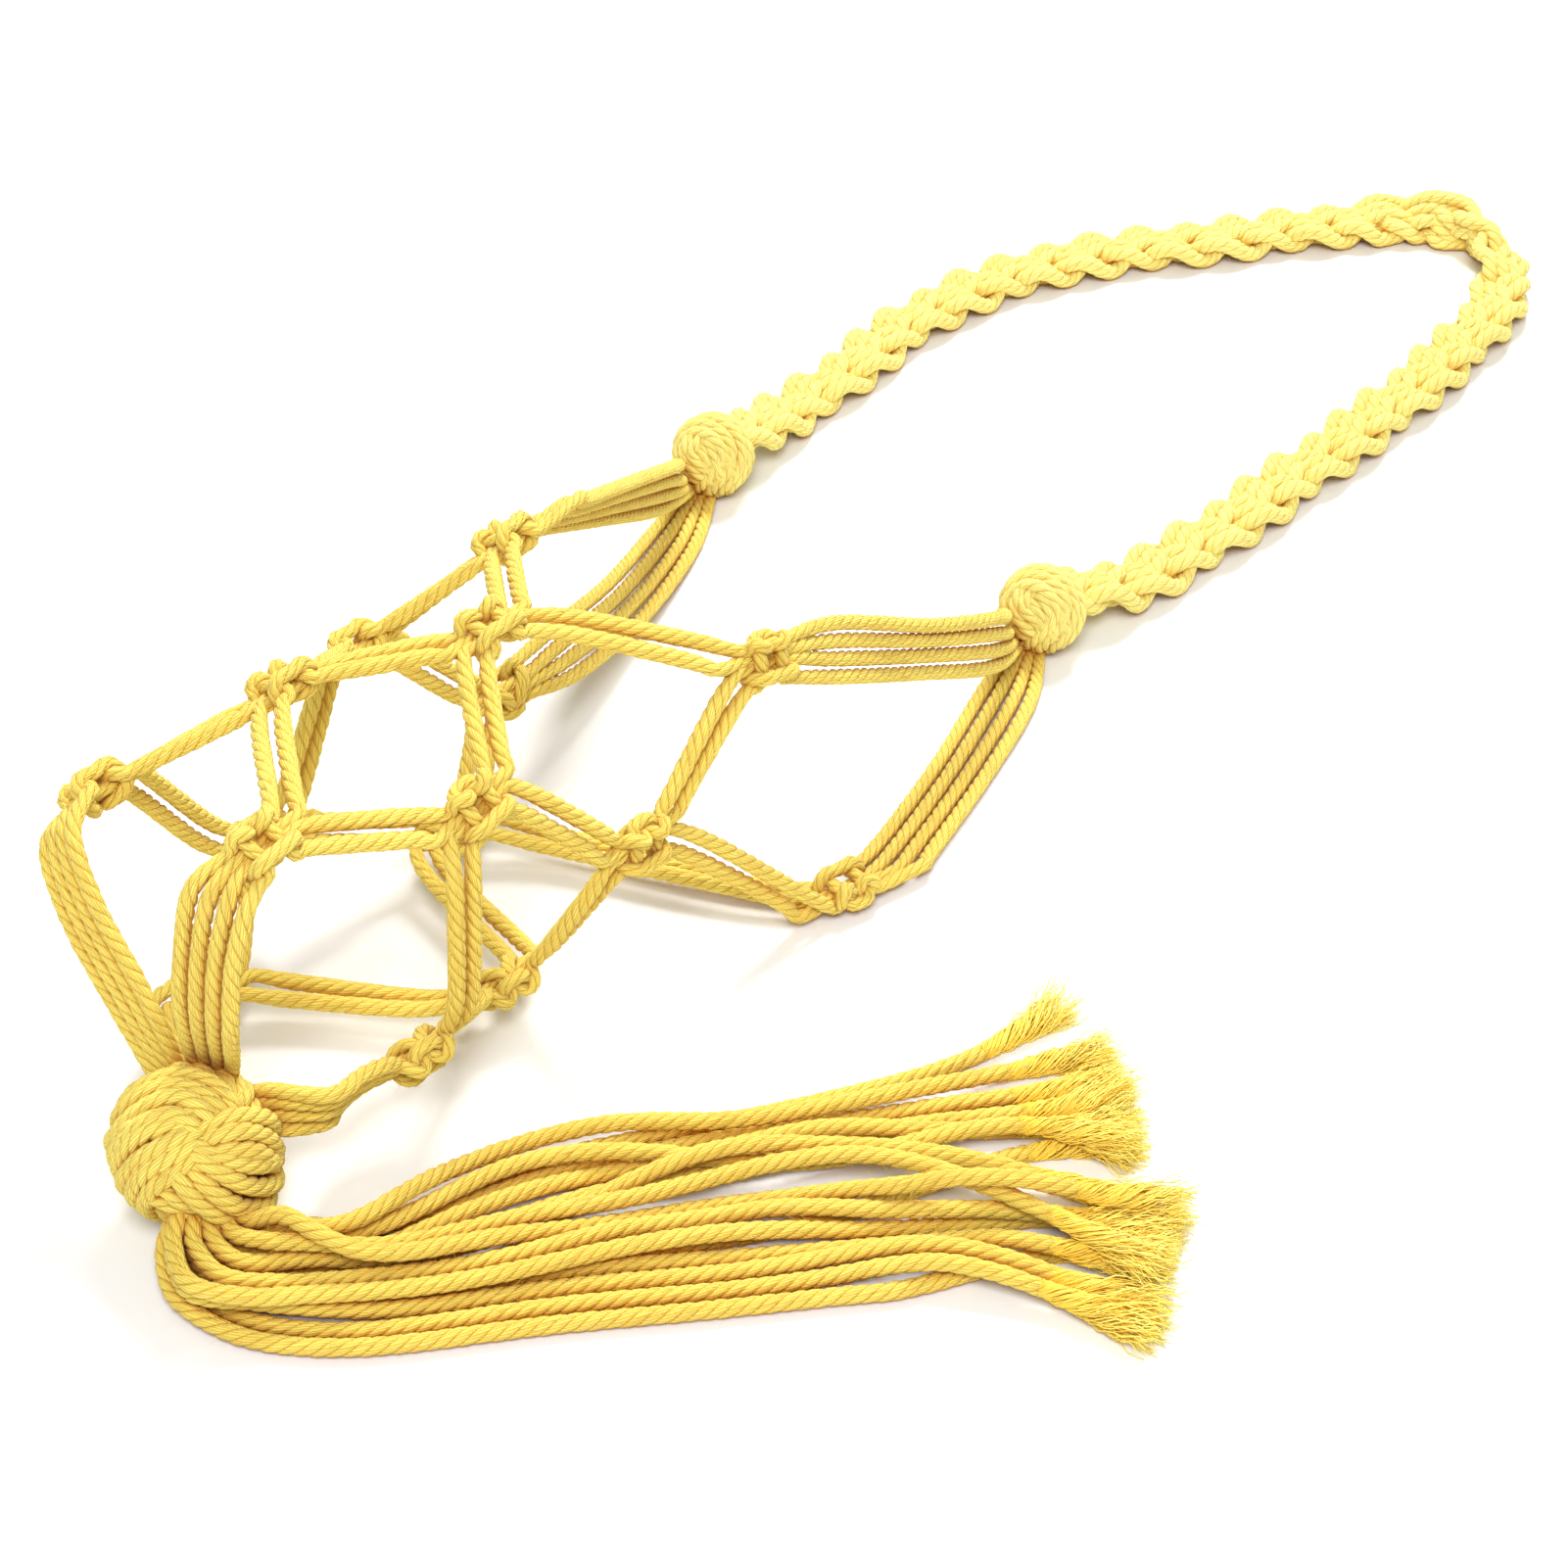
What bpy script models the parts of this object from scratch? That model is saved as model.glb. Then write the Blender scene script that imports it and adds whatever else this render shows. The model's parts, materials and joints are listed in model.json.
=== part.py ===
"""Rope holder for a bottle: a knotted cord net, a plaited carrying strap and a tassel.

The holder lies on its side in the shape that a bottle gives it. The net's axis runs
along X, its open mouth faces +X, and the strap's two ends start from the two side knots.
Sixteen cords leave the side knots, pass through four rows of square knots and meet in
the large knot under the net. The same sixteen cords leave that knot as the tassel.
All lengths are in metres, all angles in degrees.
"""
import math

import bmesh
import bpy
import numpy as np

# Cord
CORD_DIAMETER = 0.0040          # a cord that lies free
TIGHT_CORD_DIAMETER = 0.0028    # the same cord squeezed inside a knot
KNOT_PITCH = 0.00315            # between the centres of two cords that a knot presses together
CORD_CLEARANCE = 0.0004         # between two free cords that lie on each other
SEAT_CLEARANCE = 0.0003         # between a cord's end and the knot that holds it
FLOOR_CLEARANCE = 0.0001        # under a free cord

# Net
NET_RADIUS = 0.0380             # of the round space inside the net
NET_AXIS_HEIGHT = 0.0460
NET_LENGTH = 0.1500             # from the net's base to its uppermost square knots
BASE_CORNER_RADIUS = 0.0100     # the net's cords turn round the base with this radius
SLACK_KNOT_REACH = 0.0570       # the one square knot that hangs off the net, from the axis

# Side knots, where the net's cords become the strap
SIDE_KNOT_RADIUS = 0.0120
SIDE_KNOT_REACH = 0.2600        # from the net's base, along the axis
FRONT_KNOT_OFFSET = 0.0300      # from the axis, to the front
BACK_KNOT_OFFSET = 0.0840       # from the axis, to the back

# Large knot under the net
TASSEL_KNOT_RADIUS = 0.0185
TASSEL_KNOT_DROP = 0.0180       # below the net's base, along the axis
TASSEL_KNOT_OFFSET = 0.0160     # from the axis, to the front
TASSEL_CORD_PITCH = 0.0044      # between the centres of the cords where they leave it
FOOT_DEPTH = 0.0005             # a knot that the holder lies on is this much flat underneath

# Strap
STRAND_DIAMETER = 0.0041
PLAIT_HALF_WIDTH = 0.0058       # from the plait's middle to the outermost strand's centre
PLAIT_HALF_HEIGHT = 0.0036      # the same, upwards
PLAIT_PERIOD = 0.0480           # in which a strand crosses to the other edge and back

# Tassel
TASSEL_STEP = 0.0120            # between two sections of a tassel cord
LOOSE_LENGTH = 0.0450           # near the knot a cord finds its own way over this length
SINK_STEP = 0.0006              # a cord being laid sinks this much at a time

# Colours of the dyed cotton cord
CORD_COLOR = (0.86, 0.58, 0.07)
KNOT_COLOR = (0.88, 0.62, 0.10)
STRAP_COLOR = (0.92, 0.70, 0.16)

# Square knots: place along the net as a share of its length, and angle round its axis.
# Angle 0 is the front, 90 the top, 180 the back and -90 the underside.
knot_shares = {
    "I": 0.980, "A": 0.938, "J": 0.800, "P": 0.867,
    "D": 0.618, "B": 0.580, "K": 0.573, "M": 0.640,
    "H": 0.440, "E": 0.360, "C": 0.313, "N": 0.347,
    "G": 0.207, "F": 0.053, "L": 0.040, "O": 0.133,
}
KNOT_ANGLES = {
    "I": -37, "A": 27, "J": 122, "P": 208,
    "D": -2, "B": 83, "K": 158, "M": 236,
    "H": -56, "E": 40, "C": 114, "N": 205,
    "G": -38, "F": 64, "L": 140, "O": 236,
}
# The knots that a knot's two outgoing pairs of cords run to, lower angle first.
NEXT_KNOTS = {
    "I": "MD", "A": "DB", "J": "BK", "P": "KM",
    "D": "HE", "B": "EC", "K": "CN", "M": "NH",
    "H": "OG", "E": "GF", "C": "FL", "N": "LO",
}
TOP_KNOTS = "IAJP"
FLOOR_KNOT = "I"
# A cord's place in a knot, 0 to 3, becomes this place in the next knot.
NEXT_PLACE = (2, 3, 0, 1)

# Square knot in pitches of the cord: along the cords, across them, outwards.
# The table gives the first half, and the second half is its mirror image.
KNOT_HALF_share = 3.0
FRONT_WORKER_shares = (
    (0, -2.5, 0), (0.95, -2.5, 0.1), (1.5, -1.55, 0.9),
    (1.5, 0.75, 1.05), (1.45, 1.5, 0.85), (1.95, 2.45, 0.1),
)
BACK_WORKER_shares = (
    (0, 1.6, 0), (0.8, 2.15, 1.4), (1.7, 1.6, 2.0), (2.55, 1.55, 0.95),
    (2.5, 1.5, -0.55), (2.0, 0.6, -1.15), (1.0, -0.6, -1.15), (0.45, -1.5, -0.55),
    (0.35, -1.5, 0.9), (1.15, -1.65, 2.0), (3.0, -1.6, 1.85),
)
LOWER_FILLER_shares = ((0, -0.5, 0),)
UPPER_FILLER_shares = ((0, 0.5, 0),)
WORKER_shares = (FRONT_WORKER_shares, LOWER_FILLER_shares, UPPER_FILLER_shares, BACK_WORKER_shares)
KNOT_CENTRE_share = 1.7         # the knot's centre stands off the space inside by this many pitches

# Where the net's cords meet a side knot: azimuth and elevation of each of the four places.
UPPER_ENTRIES = ((200, -16), (200, 2), (200, 20), (200, 38))
LOWER_ENTRIES = ((171, -36), (189, -36), (207, -36), (225, -36))
# Where the four groups of cords meet the large knot: direction, and the step between cords.
TASSEL_ENTRY_shares = {
    "F": (0.23, -0.04, 0.97), "L": (0.19, 0.65, 0.74),
    "O": (0.75, 0.62, 0.00), "G": (0.82, -0.35, 0.45),
}
ENTRY_STEP = 10.5
# Where the tassel's cords leave the large knot: direction of the middle one, and the rows.
TASSEL_EXIT_shares = (-0.48, -0.74, -0.48)
TASSEL_ROWS = (6, 5, 5)

# How a link bends: its handles and the sections between two knots.
LINK_HANDLE_share = 0.15
TAIL_HANDLE_share = 0.30         # the tails bend more, because they turn to the large knot
LINK_SECTION_shares = (0.30, 0.70)
LEG_SECTION_shares = (0.22, 0.50, 0.78)
TAIL_SECTION_shares = (0.22, 0.50, 0.78)
PAIR_PITCH = 0.0050             # between the centres of two cords that run side by side
STUB_SLANT_share = 0.15         # below this slant a bundle's cords need no straight stub
STUB_LEAST_share = 0.20         # a stub shorter than this share of a pitch is left out
TAIL_PITCH = 0.0048             # the same, for the four that run to the large knot

# Bands of cord that wrap the large knot: axis, and as shares of the knot's radius the band's
# offset along the axis, its half width and its height. The last is level all round, where
# the tassel's cords leave, so that they can swing round the knot.
BAND_shares = (
    ((0.35, 0.55, 0.76), 0, 0.42, 0.14),
    ((0.80, -0.45, 0.40), 0, 0.34, 0.12),
    ((-0.60, 0.70, 0.38), 0, 0.30, 0.10),
    ((0.75, 0.66, 0.05), 0, 0.36, 0.14),
    ((0, 0, 1), -0.48, 0.55, 0.14),
)

# Where in its swing a strand of the plait has its sections.
PLAIT_TURNS = (30, 90, 150, 210, 270, 330)

# The strap's route on the floor, from the front side knot round its tip to the back one:
# from the side knots' place along the net, and from the net's axis.
STRAP_ROUTE = (
    (0.0337, -0.0362), (0.0511, -0.0384), (0.0683, -0.0394), (0.0900, -0.0404),
    (0.1111, -0.0406), (0.1300, -0.0412), (0.1480, -0.0412), (0.1670, -0.0407),
    (0.1867, -0.0398), (0.2042, -0.0379), (0.2213, -0.0349), (0.2328, -0.0314),
    (0.2423, -0.0263), (0.2505, -0.0170), (0.2550, -0.0029), (0.2528, 0.0076),
    (0.2469, 0.0171), (0.2375, 0.0266), (0.2274, 0.0341), (0.2158, 0.0427),
    (0.2030, 0.0511), (0.1873, 0.0629), (0.1713, 0.0741), (0.1554, 0.0828),
    (0.1378, 0.0888), (0.1198, 0.0927), (0.1012, 0.0938), (0.0840, 0.0925),
    (0.0681, 0.0908), (0.0540, 0.0896), (0.0405, 0.0890),
)

# The tassel's cords on the floor, from the middle of the large knot, in the order in which
# they are laid on each other.
TASSEL_ROUTES = (
    ((-0.0149, -0.0049), (-0.0189, -0.0181), (-0.0195, -0.0279), (-0.0191, -0.0380),
     (-0.0172, -0.0446), (-0.0124, -0.0512), (-0.0033, -0.0599), (0.0061, -0.0653),
     (0.0214, -0.0785), (0.0356, -0.0932), (0.0494, -0.1062), (0.0592, -0.1140),
     (0.0751, -0.1249), (0.0910, -0.1360), (0.1028, -0.1436), (0.1139, -0.1532),
     (0.1210, -0.1647)),
    ((-0.0158, -0.0172), (-0.0159, -0.0306), (-0.0115, -0.0405), (-0.0062, -0.0492),
     (0.0014, -0.0557), (0.0140, -0.0644), (0.0204, -0.0691), (0.0276, -0.0763),
     (0.0325, -0.0821), (0.0435, -0.0930), (0.0511, -0.1000), (0.0616, -0.1090),
     (0.0728, -0.1186), (0.0848, -0.1252), (0.0915, -0.1318), (0.0935, -0.1418),
     (0.0956, -0.1518), (0.0962, -0.1591), (0.0971, -0.1678), (0.0988, -0.1763)),
    ((-0.0104, -0.0186), (-0.0086, -0.0315), (-0.0010, -0.0438), (0.0148, -0.0562),
     (0.0316, -0.0689), (0.0452, -0.0803), (0.0510, -0.0915), (0.0602, -0.0996),
     (0.0697, -0.1051), (0.0833, -0.1182), (0.0934, -0.1352), (0.1015, -0.1495),
     (0.1105, -0.1606), (0.1161, -0.1678)),
    ((-0.0064, -0.0158), (-0.0029, -0.0282), (0.0046, -0.0379), (0.0151, -0.0444),
     (0.0285, -0.0500), (0.0365, -0.0533), (0.0463, -0.0596), (0.0608, -0.0660),
     (0.0742, -0.0764), (0.0910, -0.0872), (0.1069, -0.0992), (0.1210, -0.1089),
     (0.1319, -0.1170), (0.1430, -0.1244), (0.1530, -0.1325)),
    ((-0.0044, -0.0153), (-0.0010, -0.0262), (0.0049, -0.0361), (0.0159, -0.0407),
     (0.0258, -0.0394), (0.0352, -0.0372), (0.0454, -0.0403), (0.0557, -0.0479),
     (0.0665, -0.0551), (0.0766, -0.0633), (0.0848, -0.0670), (0.0894, -0.0715),
     (0.0957, -0.0748), (0.1086, -0.0810), (0.1200, -0.0887), (0.1277, -0.0955),
     (0.1392, -0.1013), (0.1498, -0.1035), (0.1571, -0.1032), (0.1676, -0.1015)),
    ((-0.0052, -0.0164), (-0.0022, -0.0279), (0.0033, -0.0382), (0.0119, -0.0422),
     (0.0203, -0.0436), (0.0304, -0.0447), (0.0420, -0.0443), (0.0492, -0.0446),
     (0.0549, -0.0466), (0.0645, -0.0560), (0.0753, -0.0642), (0.0860, -0.0745),
     (0.1048, -0.0883), (0.1168, -0.0954), (0.1292, -0.1025), (0.1377, -0.1125),
     (0.1447, -0.1218), (0.1546, -0.1287)),
    ((-0.0165, -0.0188), (-0.0159, -0.0313), (-0.0111, -0.0406), (-0.0044, -0.0477),
     (0.0041, -0.0530), (0.0206, -0.0653), (0.0293, -0.0711), (0.0373, -0.0741),
     (0.0452, -0.0809), (0.0508, -0.0865), (0.0556, -0.0960), (0.0662, -0.1080),
     (0.0806, -0.1203), (0.0877, -0.1304), (0.0936, -0.1414), (0.0997, -0.1526),
     (0.1030, -0.1577), (0.1045, -0.1661), (0.1046, -0.1746)),
    ((-0.0102, -0.0192), (-0.0071, -0.0304), (0.0008, -0.0421), (0.0162, -0.0520),
     (0.0308, -0.0603), (0.0421, -0.0720), (0.0498, -0.0871), (0.0620, -0.0972),
     (0.0713, -0.1008), (0.0809, -0.1048), (0.0900, -0.1120), (0.1025, -0.1153),
     (0.1167, -0.1176), (0.1279, -0.1239), (0.1356, -0.1303), (0.1416, -0.1424)),
    ((-0.0070, -0.0170), (-0.0027, -0.0284), (0.0030, -0.0399), (0.0107, -0.0464),
     (0.0195, -0.0490), (0.0284, -0.0505), (0.0375, -0.0527), (0.0504, -0.0510),
     (0.0564, -0.0563), (0.0630, -0.0611), (0.0717, -0.0674), (0.0807, -0.0741),
     (0.0935, -0.0851), (0.1016, -0.0950), (0.1116, -0.1038), (0.1210, -0.1128),
     (0.1320, -0.1208), (0.1398, -0.1293), (0.1461, -0.1384)),
    ((-0.0062, -0.0179), (-0.0029, -0.0291), (0.0028, -0.0390), (0.0097, -0.0434),
     (0.0168, -0.0441), (0.0302, -0.0415), (0.0377, -0.0413), (0.0506, -0.0400),
     (0.0595, -0.0500), (0.0624, -0.0582), (0.0653, -0.0663), (0.0729, -0.0776),
     (0.0868, -0.0876), (0.1000, -0.0963), (0.1113, -0.1039), (0.1260, -0.1128),
     (0.1300, -0.1180), (0.1359, -0.1292), (0.1386, -0.1428)),
    ((-0.0065, -0.0183), (-0.0032, -0.0296), (0.0011, -0.0414), (0.0082, -0.0454),
     (0.0149, -0.0451), (0.0244, -0.0419), (0.0331, -0.0388), (0.0440, -0.0374),
     (0.0525, -0.0381), (0.0614, -0.0406), (0.0685, -0.0450), (0.0742, -0.0545),
     (0.0764, -0.0636), (0.0775, -0.0697), (0.0843, -0.0780), (0.0941, -0.0845),
     (0.1062, -0.0912), (0.1208, -0.0964), (0.1350, -0.1021), (0.1433, -0.1083),
     (0.1538, -0.1138), (0.1620, -0.1199)),
    ((-0.0152, -0.0139), (-0.0170, -0.0252), (-0.0158, -0.0340), (-0.0113, -0.0413),
     (-0.0058, -0.0452), (0.0060, -0.0516), (0.0180, -0.0609), (0.0261, -0.0672),
     (0.0359, -0.0720), (0.0431, -0.0761), (0.0530, -0.0846), (0.0615, -0.0910),
     (0.0725, -0.1027), (0.0782, -0.1102), (0.0851, -0.1168), (0.0950, -0.1249),
     (0.1051, -0.1329), (0.1137, -0.1409), (0.1216, -0.1528), (0.1275, -0.1624)),
    ((-0.0135, -0.0161), (-0.0110, -0.0286), (-0.0070, -0.0375), (0.0004, -0.0444),
     (0.0090, -0.0484), (0.0183, -0.0560), (0.0272, -0.0661), (0.0333, -0.0711),
     (0.0427, -0.0728), (0.0525, -0.0779), (0.0627, -0.0828), (0.0721, -0.0885),
     (0.0801, -0.1046), (0.0864, -0.1156), (0.0951, -0.1247), (0.1065, -0.1331),
     (0.1138, -0.1457), (0.1218, -0.1613)),
    ((-0.0118, -0.0173), (-0.0095, -0.0269), (-0.0053, -0.0347), (0.0007, -0.0413),
     (0.0106, -0.0466), (0.0227, -0.0515), (0.0340, -0.0573), (0.0510, -0.0638),
     (0.0672, -0.0715), (0.0816, -0.0811), (0.0930, -0.0939), (0.1072, -0.1072),
     (0.1111, -0.1121), (0.1144, -0.1218), (0.1181, -0.1272), (0.1218, -0.1364),
     (0.1232, -0.1439), (0.1268, -0.1554)),
    ((-0.0106, -0.0190), (-0.0086, -0.0300), (-0.0051, -0.0379), (0.0002, -0.0437),
     (0.0096, -0.0482), (0.0205, -0.0512), (0.0327, -0.0538), (0.0401, -0.0575),
     (0.0459, -0.0626), (0.0529, -0.0670), (0.0596, -0.0715), (0.0698, -0.0765),
     (0.0787, -0.0828), (0.0932, -0.0938), (0.1002, -0.1005), (0.1027, -0.1108),
     (0.1031, -0.1226), (0.1042, -0.1334), (0.1068, -0.1457), (0.1089, -0.1564),
     (0.1118, -0.1679)),
    ((-0.0109, -0.0203), (-0.0088, -0.0266), (-0.0074, -0.0359), (-0.0034, -0.0435),
     (0.0024, -0.0481), (0.0098, -0.0513), (0.0173, -0.0543), (0.0281, -0.0584),
     (0.0396, -0.0686), (0.0459, -0.0699), (0.0561, -0.0746), (0.0665, -0.0795),
     (0.0743, -0.0866), (0.0804, -0.0961), (0.0857, -0.1080), (0.0915, -0.1196),
     (0.0962, -0.1285), (0.1017, -0.1320), (0.1079, -0.1384), (0.1176, -0.1468),
     (0.1254, -0.1535), (0.1317, -0.1612)),
)


def unit(vector):
    vector = np.asarray(vector, dtype=float)
    return vector / np.linalg.norm(vector)


def direction(azimuth, elevation):
    a, e = math.radians(azimuth), math.radians(elevation)
    return np.array((math.cos(a) * math.cos(e), math.sin(a) * math.cos(e), math.sin(e)))


def smooth_route(points, sections):
    """A smooth curve through the points, read at a number of sections between each two."""
    p = np.asarray(points, dtype=float)
    p = np.vstack((2 * p[0] - p[1], p, 2 * p[-1] - p[-2]))
    out = []
    for k in range(1, len(p) - 2):
        a, b, c, d = p[k - 1:k + 3]
        for t in np.arange(sections) / sections:
            out.append((2 * b + (c - a) * t + (2 * a - 5 * b + 4 * c - d) * t ** 2
                        + (3 * b - a - 3 * c + d) * t ** 3) / 2)
    out.append(p[-2])
    return np.array(out)


def even_route(points, step):
    """A smooth curve through the points, read at equal steps along it."""
    fine = smooth_route(points, 12)
    run = np.append(0, np.cumsum(np.linalg.norm(np.diff(fine, axis=0), axis=1)))
    at = np.linspace(0, run[-1], max(3, round(run[-1] / step) + 1))
    return np.stack([np.interp(at, run, fine[:, k]) for k in range(fine.shape[1])], axis=1)


def tube(name, points, radii, sides_step, color, parent):
    """A cord: one unbroken tube through the points, as thick at each as its radius there."""
    full = float(max(radii))
    curve = bpy.data.curves.new(name, "CURVE")
    curve.dimensions = "3D"
    curve.bevel_depth = full
    curve.bevel_resolution = sides_step
    curve.use_fill_caps = True
    spline = curve.splines.new("POLY")
    spline.points.add(len(points) - 1)
    for place, point, radius in zip(spline.points, points, radii):
        place.co = (*point, 1)
        place.radius = radius / full
    return finish(bpy.data.objects.new(name, curve), name, color, parent)


def finish(piece, name, color, parent):
    material = bpy.data.materials.new(name)
    material.use_nodes = True
    shader = material.node_tree.nodes["Principled BSDF"]
    shader.inputs["Base Color"].default_value = (*color, 1)
    shader.inputs["Roughness"].default_value = 0.85
    shader.inputs["Metallic"].default_value = 0
    piece.data.materials.append(material)
    bpy.context.scene.collection.objects.link(piece)
    piece.parent = parent
    piece.matrix_parent_inverse = parent.matrix_world.inverted()
    return piece


def joint_empty(name, place, parent=None):
    empty = bpy.data.objects.new(name, None)
    empty.location = place
    bpy.context.scene.collection.objects.link(empty)
    if parent:
        empty.parent = parent
        bpy.context.view_layer.update()
        empty.matrix_parent_inverse = parent.matrix_world.inverted()
    bpy.context.view_layer.update()
    return empty


def band_height(way, bands):
    """How far the bands of cord stand off a knot's core in one direction, as a share."""
    height = 0
    for axis, offset, half_width, rise in bands:
        off = abs(float(np.dot(way, unit(axis))) - offset) / half_width
        if off < 1:
            height = max(height, rise * math.sqrt(1 - off ** 2))
    return height


def knot_surface(way, radius, bands):
    """Distance of a round knot's surface from its centre in one direction."""
    way = unit(way)
    top = max((band[-1] for band in bands), default=0)
    return radius * (1 - top + band_height(way, bands))


def round_knot(name, centre, radius, bands, segments, rings, color, parent):
    """A round lump of wrapped cord with a small flat foot, standing on the floor."""
    mesh = bpy.data.meshes.new(name)
    body = bmesh.new()
    bmesh.ops.create_uvsphere(body, u_segments=segments, v_segments=rings, radius=radius)
    for vert in body.verts:
        way = unit(vert.co)
        vert.co = way * knot_surface(way, radius, bands)
    every = body.verts[:] + body.edges[:] + body.faces[:]
    bmesh.ops.bisect_plane(body, geom=every, plane_co=(0, 0, -centre[2]),
                           plane_no=(0, 0, -1), clear_outer=True)
    rim = [edge for edge in body.edges if edge.is_boundary]
    bmesh.ops.holes_fill(body, edges=rim, sides=0)
    bmesh.ops.recalc_face_normals(body, faces=body.faces[:])
    body.to_mesh(mesh)
    body.free()
    mesh.shade_smooth()
    piece = bpy.data.objects.new(name, mesh)
    piece.location = centre
    return finish(piece, name, color, parent)


# Square knots of the net

def net_point(along, angle, reach):
    a = math.radians(angle)
    return np.array((along, -reach * math.cos(a), NET_AXIS_HEIGHT + reach * math.sin(a)))


def reach_of(point):
    return math.hypot(point[1], point[2] - NET_AXIS_HEIGHT)


def knot_centre(knot):
    if knot == FLOOR_KNOT:
        height = KNOT_PITCH * KNOT_CENTRE_share
        return np.array((knot_shares[knot] * NET_LENGTH, -SLACK_KNOT_REACH, height))
    reach = NET_RADIUS + KNOT_CENTRE_share * KNOT_PITCH
    return net_point(knot_shares[knot] * NET_LENGTH, KNOT_ANGLES[knot], reach)


def knot_frame(knot):
    """Directions in a knot: along its cords towards the base, across them, and outwards."""
    centre = knot_centre(knot)
    above = [knot_centre(k) for k in NEXT_KNOTS if knot in NEXT_KNOTS[k]]
    if not above:
        above = [side_centre(knot)]
    below = [knot_centre(k) for k in NEXT_KNOTS.get(knot, "")]
    if not below:
        below = [centre - (centre - above[0]) * (-1, 0, 0)]
    along = unit(unit(np.mean(below, axis=0) - centre) - unit(np.mean(above, axis=0) - centre))
    if knot == FLOOR_KNOT:
        outward = np.array((0, 0, 1.0))
        across = np.array((0, -1.0, 0))
    else:
        a = math.radians(KNOT_ANGLES[knot])
        outward = np.array((0, -math.cos(a), math.sin(a)))
        across = np.array((0, math.sin(a), math.cos(a)))
    along = unit(along - outward * np.dot(along, outward))
    across = unit(across - along * np.dot(across, along))
    return centre, along, across, outward


def side_centre(knot):
    height = SIDE_KNOT_RADIUS - FOOT_DEPTH
    if knot in "IA":
        return np.array((SIDE_KNOT_REACH, -FRONT_KNOT_OFFSET, height))
    return np.array((SIDE_KNOT_REACH, BACK_KNOT_OFFSET, height))


def knot_path(knot, place):
    """A cord's way through a knot, from its upper side to its lower side."""
    centre, along, across, outward = knot_frame(knot)
    half = list(WORKER_shares[place])
    length = 2 * KNOT_HALF_share
    other = [(length - u, v, w) for u, v, w in reversed(half)]
    if half[-1][0] == KNOT_HALF_share:
        other = other[1:]
    path = []
    for u, v, w in half + other:
        local = along * (u - KNOT_HALF_share) + across * v + outward * w
        path.append(centre + local * KNOT_PITCH)
    return path


def least_reach(along):
    """How near to the axis a cord's centre may come at one place along the net."""
    side = NET_RADIUS + CORD_DIAMETER / 2
    into = BASE_CORNER_RADIUS - CORD_DIAMETER / 2 - along
    if into <= 0:
        return side
    if into >= BASE_CORNER_RADIUS:
        return 0
    return side - BASE_CORNER_RADIUS + math.sqrt(BASE_CORNER_RADIUS ** 2 - into ** 2)


def clear_of_space(point):
    """The point, moved out of the net's round space and off the floor where it has to be."""
    reach, least = reach_of(point), least_reach(point[0])
    if reach < least:
        point[1] *= least / reach
        point[2] = NET_AXIS_HEIGHT + (point[2] - NET_AXIS_HEIGHT) * least / reach
    point[2] = max(point[2], CORD_DIAMETER / 2 + FLOOR_CLEARANCE)
    return point


def link_path(start, start_way, end, end_way, shares, bend):
    """A cord's slack bend between two knots."""
    handle = np.linalg.norm(end - start) * bend
    a, d = start, end
    b, c = start + start_way * handle, end - end_way * handle
    path = []
    for t in shares:
        s = 1 - t
        point = a * s ** 3 + b * 3 * s ** 2 * t + c * 3 * s * t ** 2 + d * t ** 3
        path.append(clear_of_space(point))
    return path


def side_of(run, point):
    """Direction along the net's surface in which a link's cords lie beside each other."""
    outward = unit((0, point[1], point[2] - NET_AXIS_HEIGHT))
    return unit(np.cross(run, outward))


def bundle_path(starts, start_way, ends, end_way, place, pitch, shares, sides=None, seated=(),
                bend=LINK_HANDLE_share):
    """A cord's way in a pair or a bundle that runs side by side from knot to knot.

    The cords leave the upper knot straight, each until it is in line with its place in
    the bundle, and enter the lower one in the same way. At an end named in seated they
    are seated on a round knot instead. Returns the points, and which of them are tight.
    """
    offs = {k: (k - sum(starts) / len(starts)) * pitch for k in starts}
    middle = sum(starts.values()) / len(starts)
    goal = sum(ends.values()) / len(ends)
    line = [middle] + link_path(middle, start_way, goal, end_way, shares, bend) + [goal]
    path, tight = [], []
    for n, point in enumerate(line):
        at_start, at_end = n == 0, n == len(line) - 1
        run = unit(line[min(n + 1, len(line) - 1)] - line[max(n - 1, 0)])
        side = side_of(run, point)
        if sides:
            t = n / (len(line) - 1)
            mix = [unit(k - run * np.dot(k, run)) * w for k, w in zip(sides, (1 - t, t))]
            side = unit(mix[0] + mix[1])
        if not at_start and not at_end:
            path.append(clear_of_space(point + side * offs[place]))
            tight.append(False)
            continue
        knot_side, way = (starts, start_way) if at_start else (ends, -end_way)
        slant = np.dot(way, side)
        if ("start" if at_start else "end") in seated or abs(slant) < STUB_SLANT_share:
            continue
        stubs = {k: (point + side * offs[k] - knot_side[k]) @ side / slant for k in starts}
        stub = stubs[place] - min(stubs.values())
        if stub > KNOT_PITCH * STUB_LEAST_share:
            path.append(knot_side[place] + way * stub)
            tight.append(True)
    return path, tight


def seat(centre, way, radius, bands):
    """Where a cord meets a round knot, and one diameter out from there."""
    way = unit(way)
    side = unit(np.cross(way, (0.3, 0.2, 0.9)))
    other = np.cross(way, side)
    heights = [knot_surface(way, radius, bands)]
    for n in range(8):
        angle = math.pi * n / 4
        rim = (side * math.cos(angle) + other * math.sin(angle)) * TIGHT_CORD_DIAMETER / 2
        near = unit(way * radius + rim)
        heights.append(knot_surface(near, radius, bands) * np.dot(near, way))
    at = max(heights) + SEAT_CLEARANCE
    return centre + way * at, centre + way * (at + CORD_DIAMETER)


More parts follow.
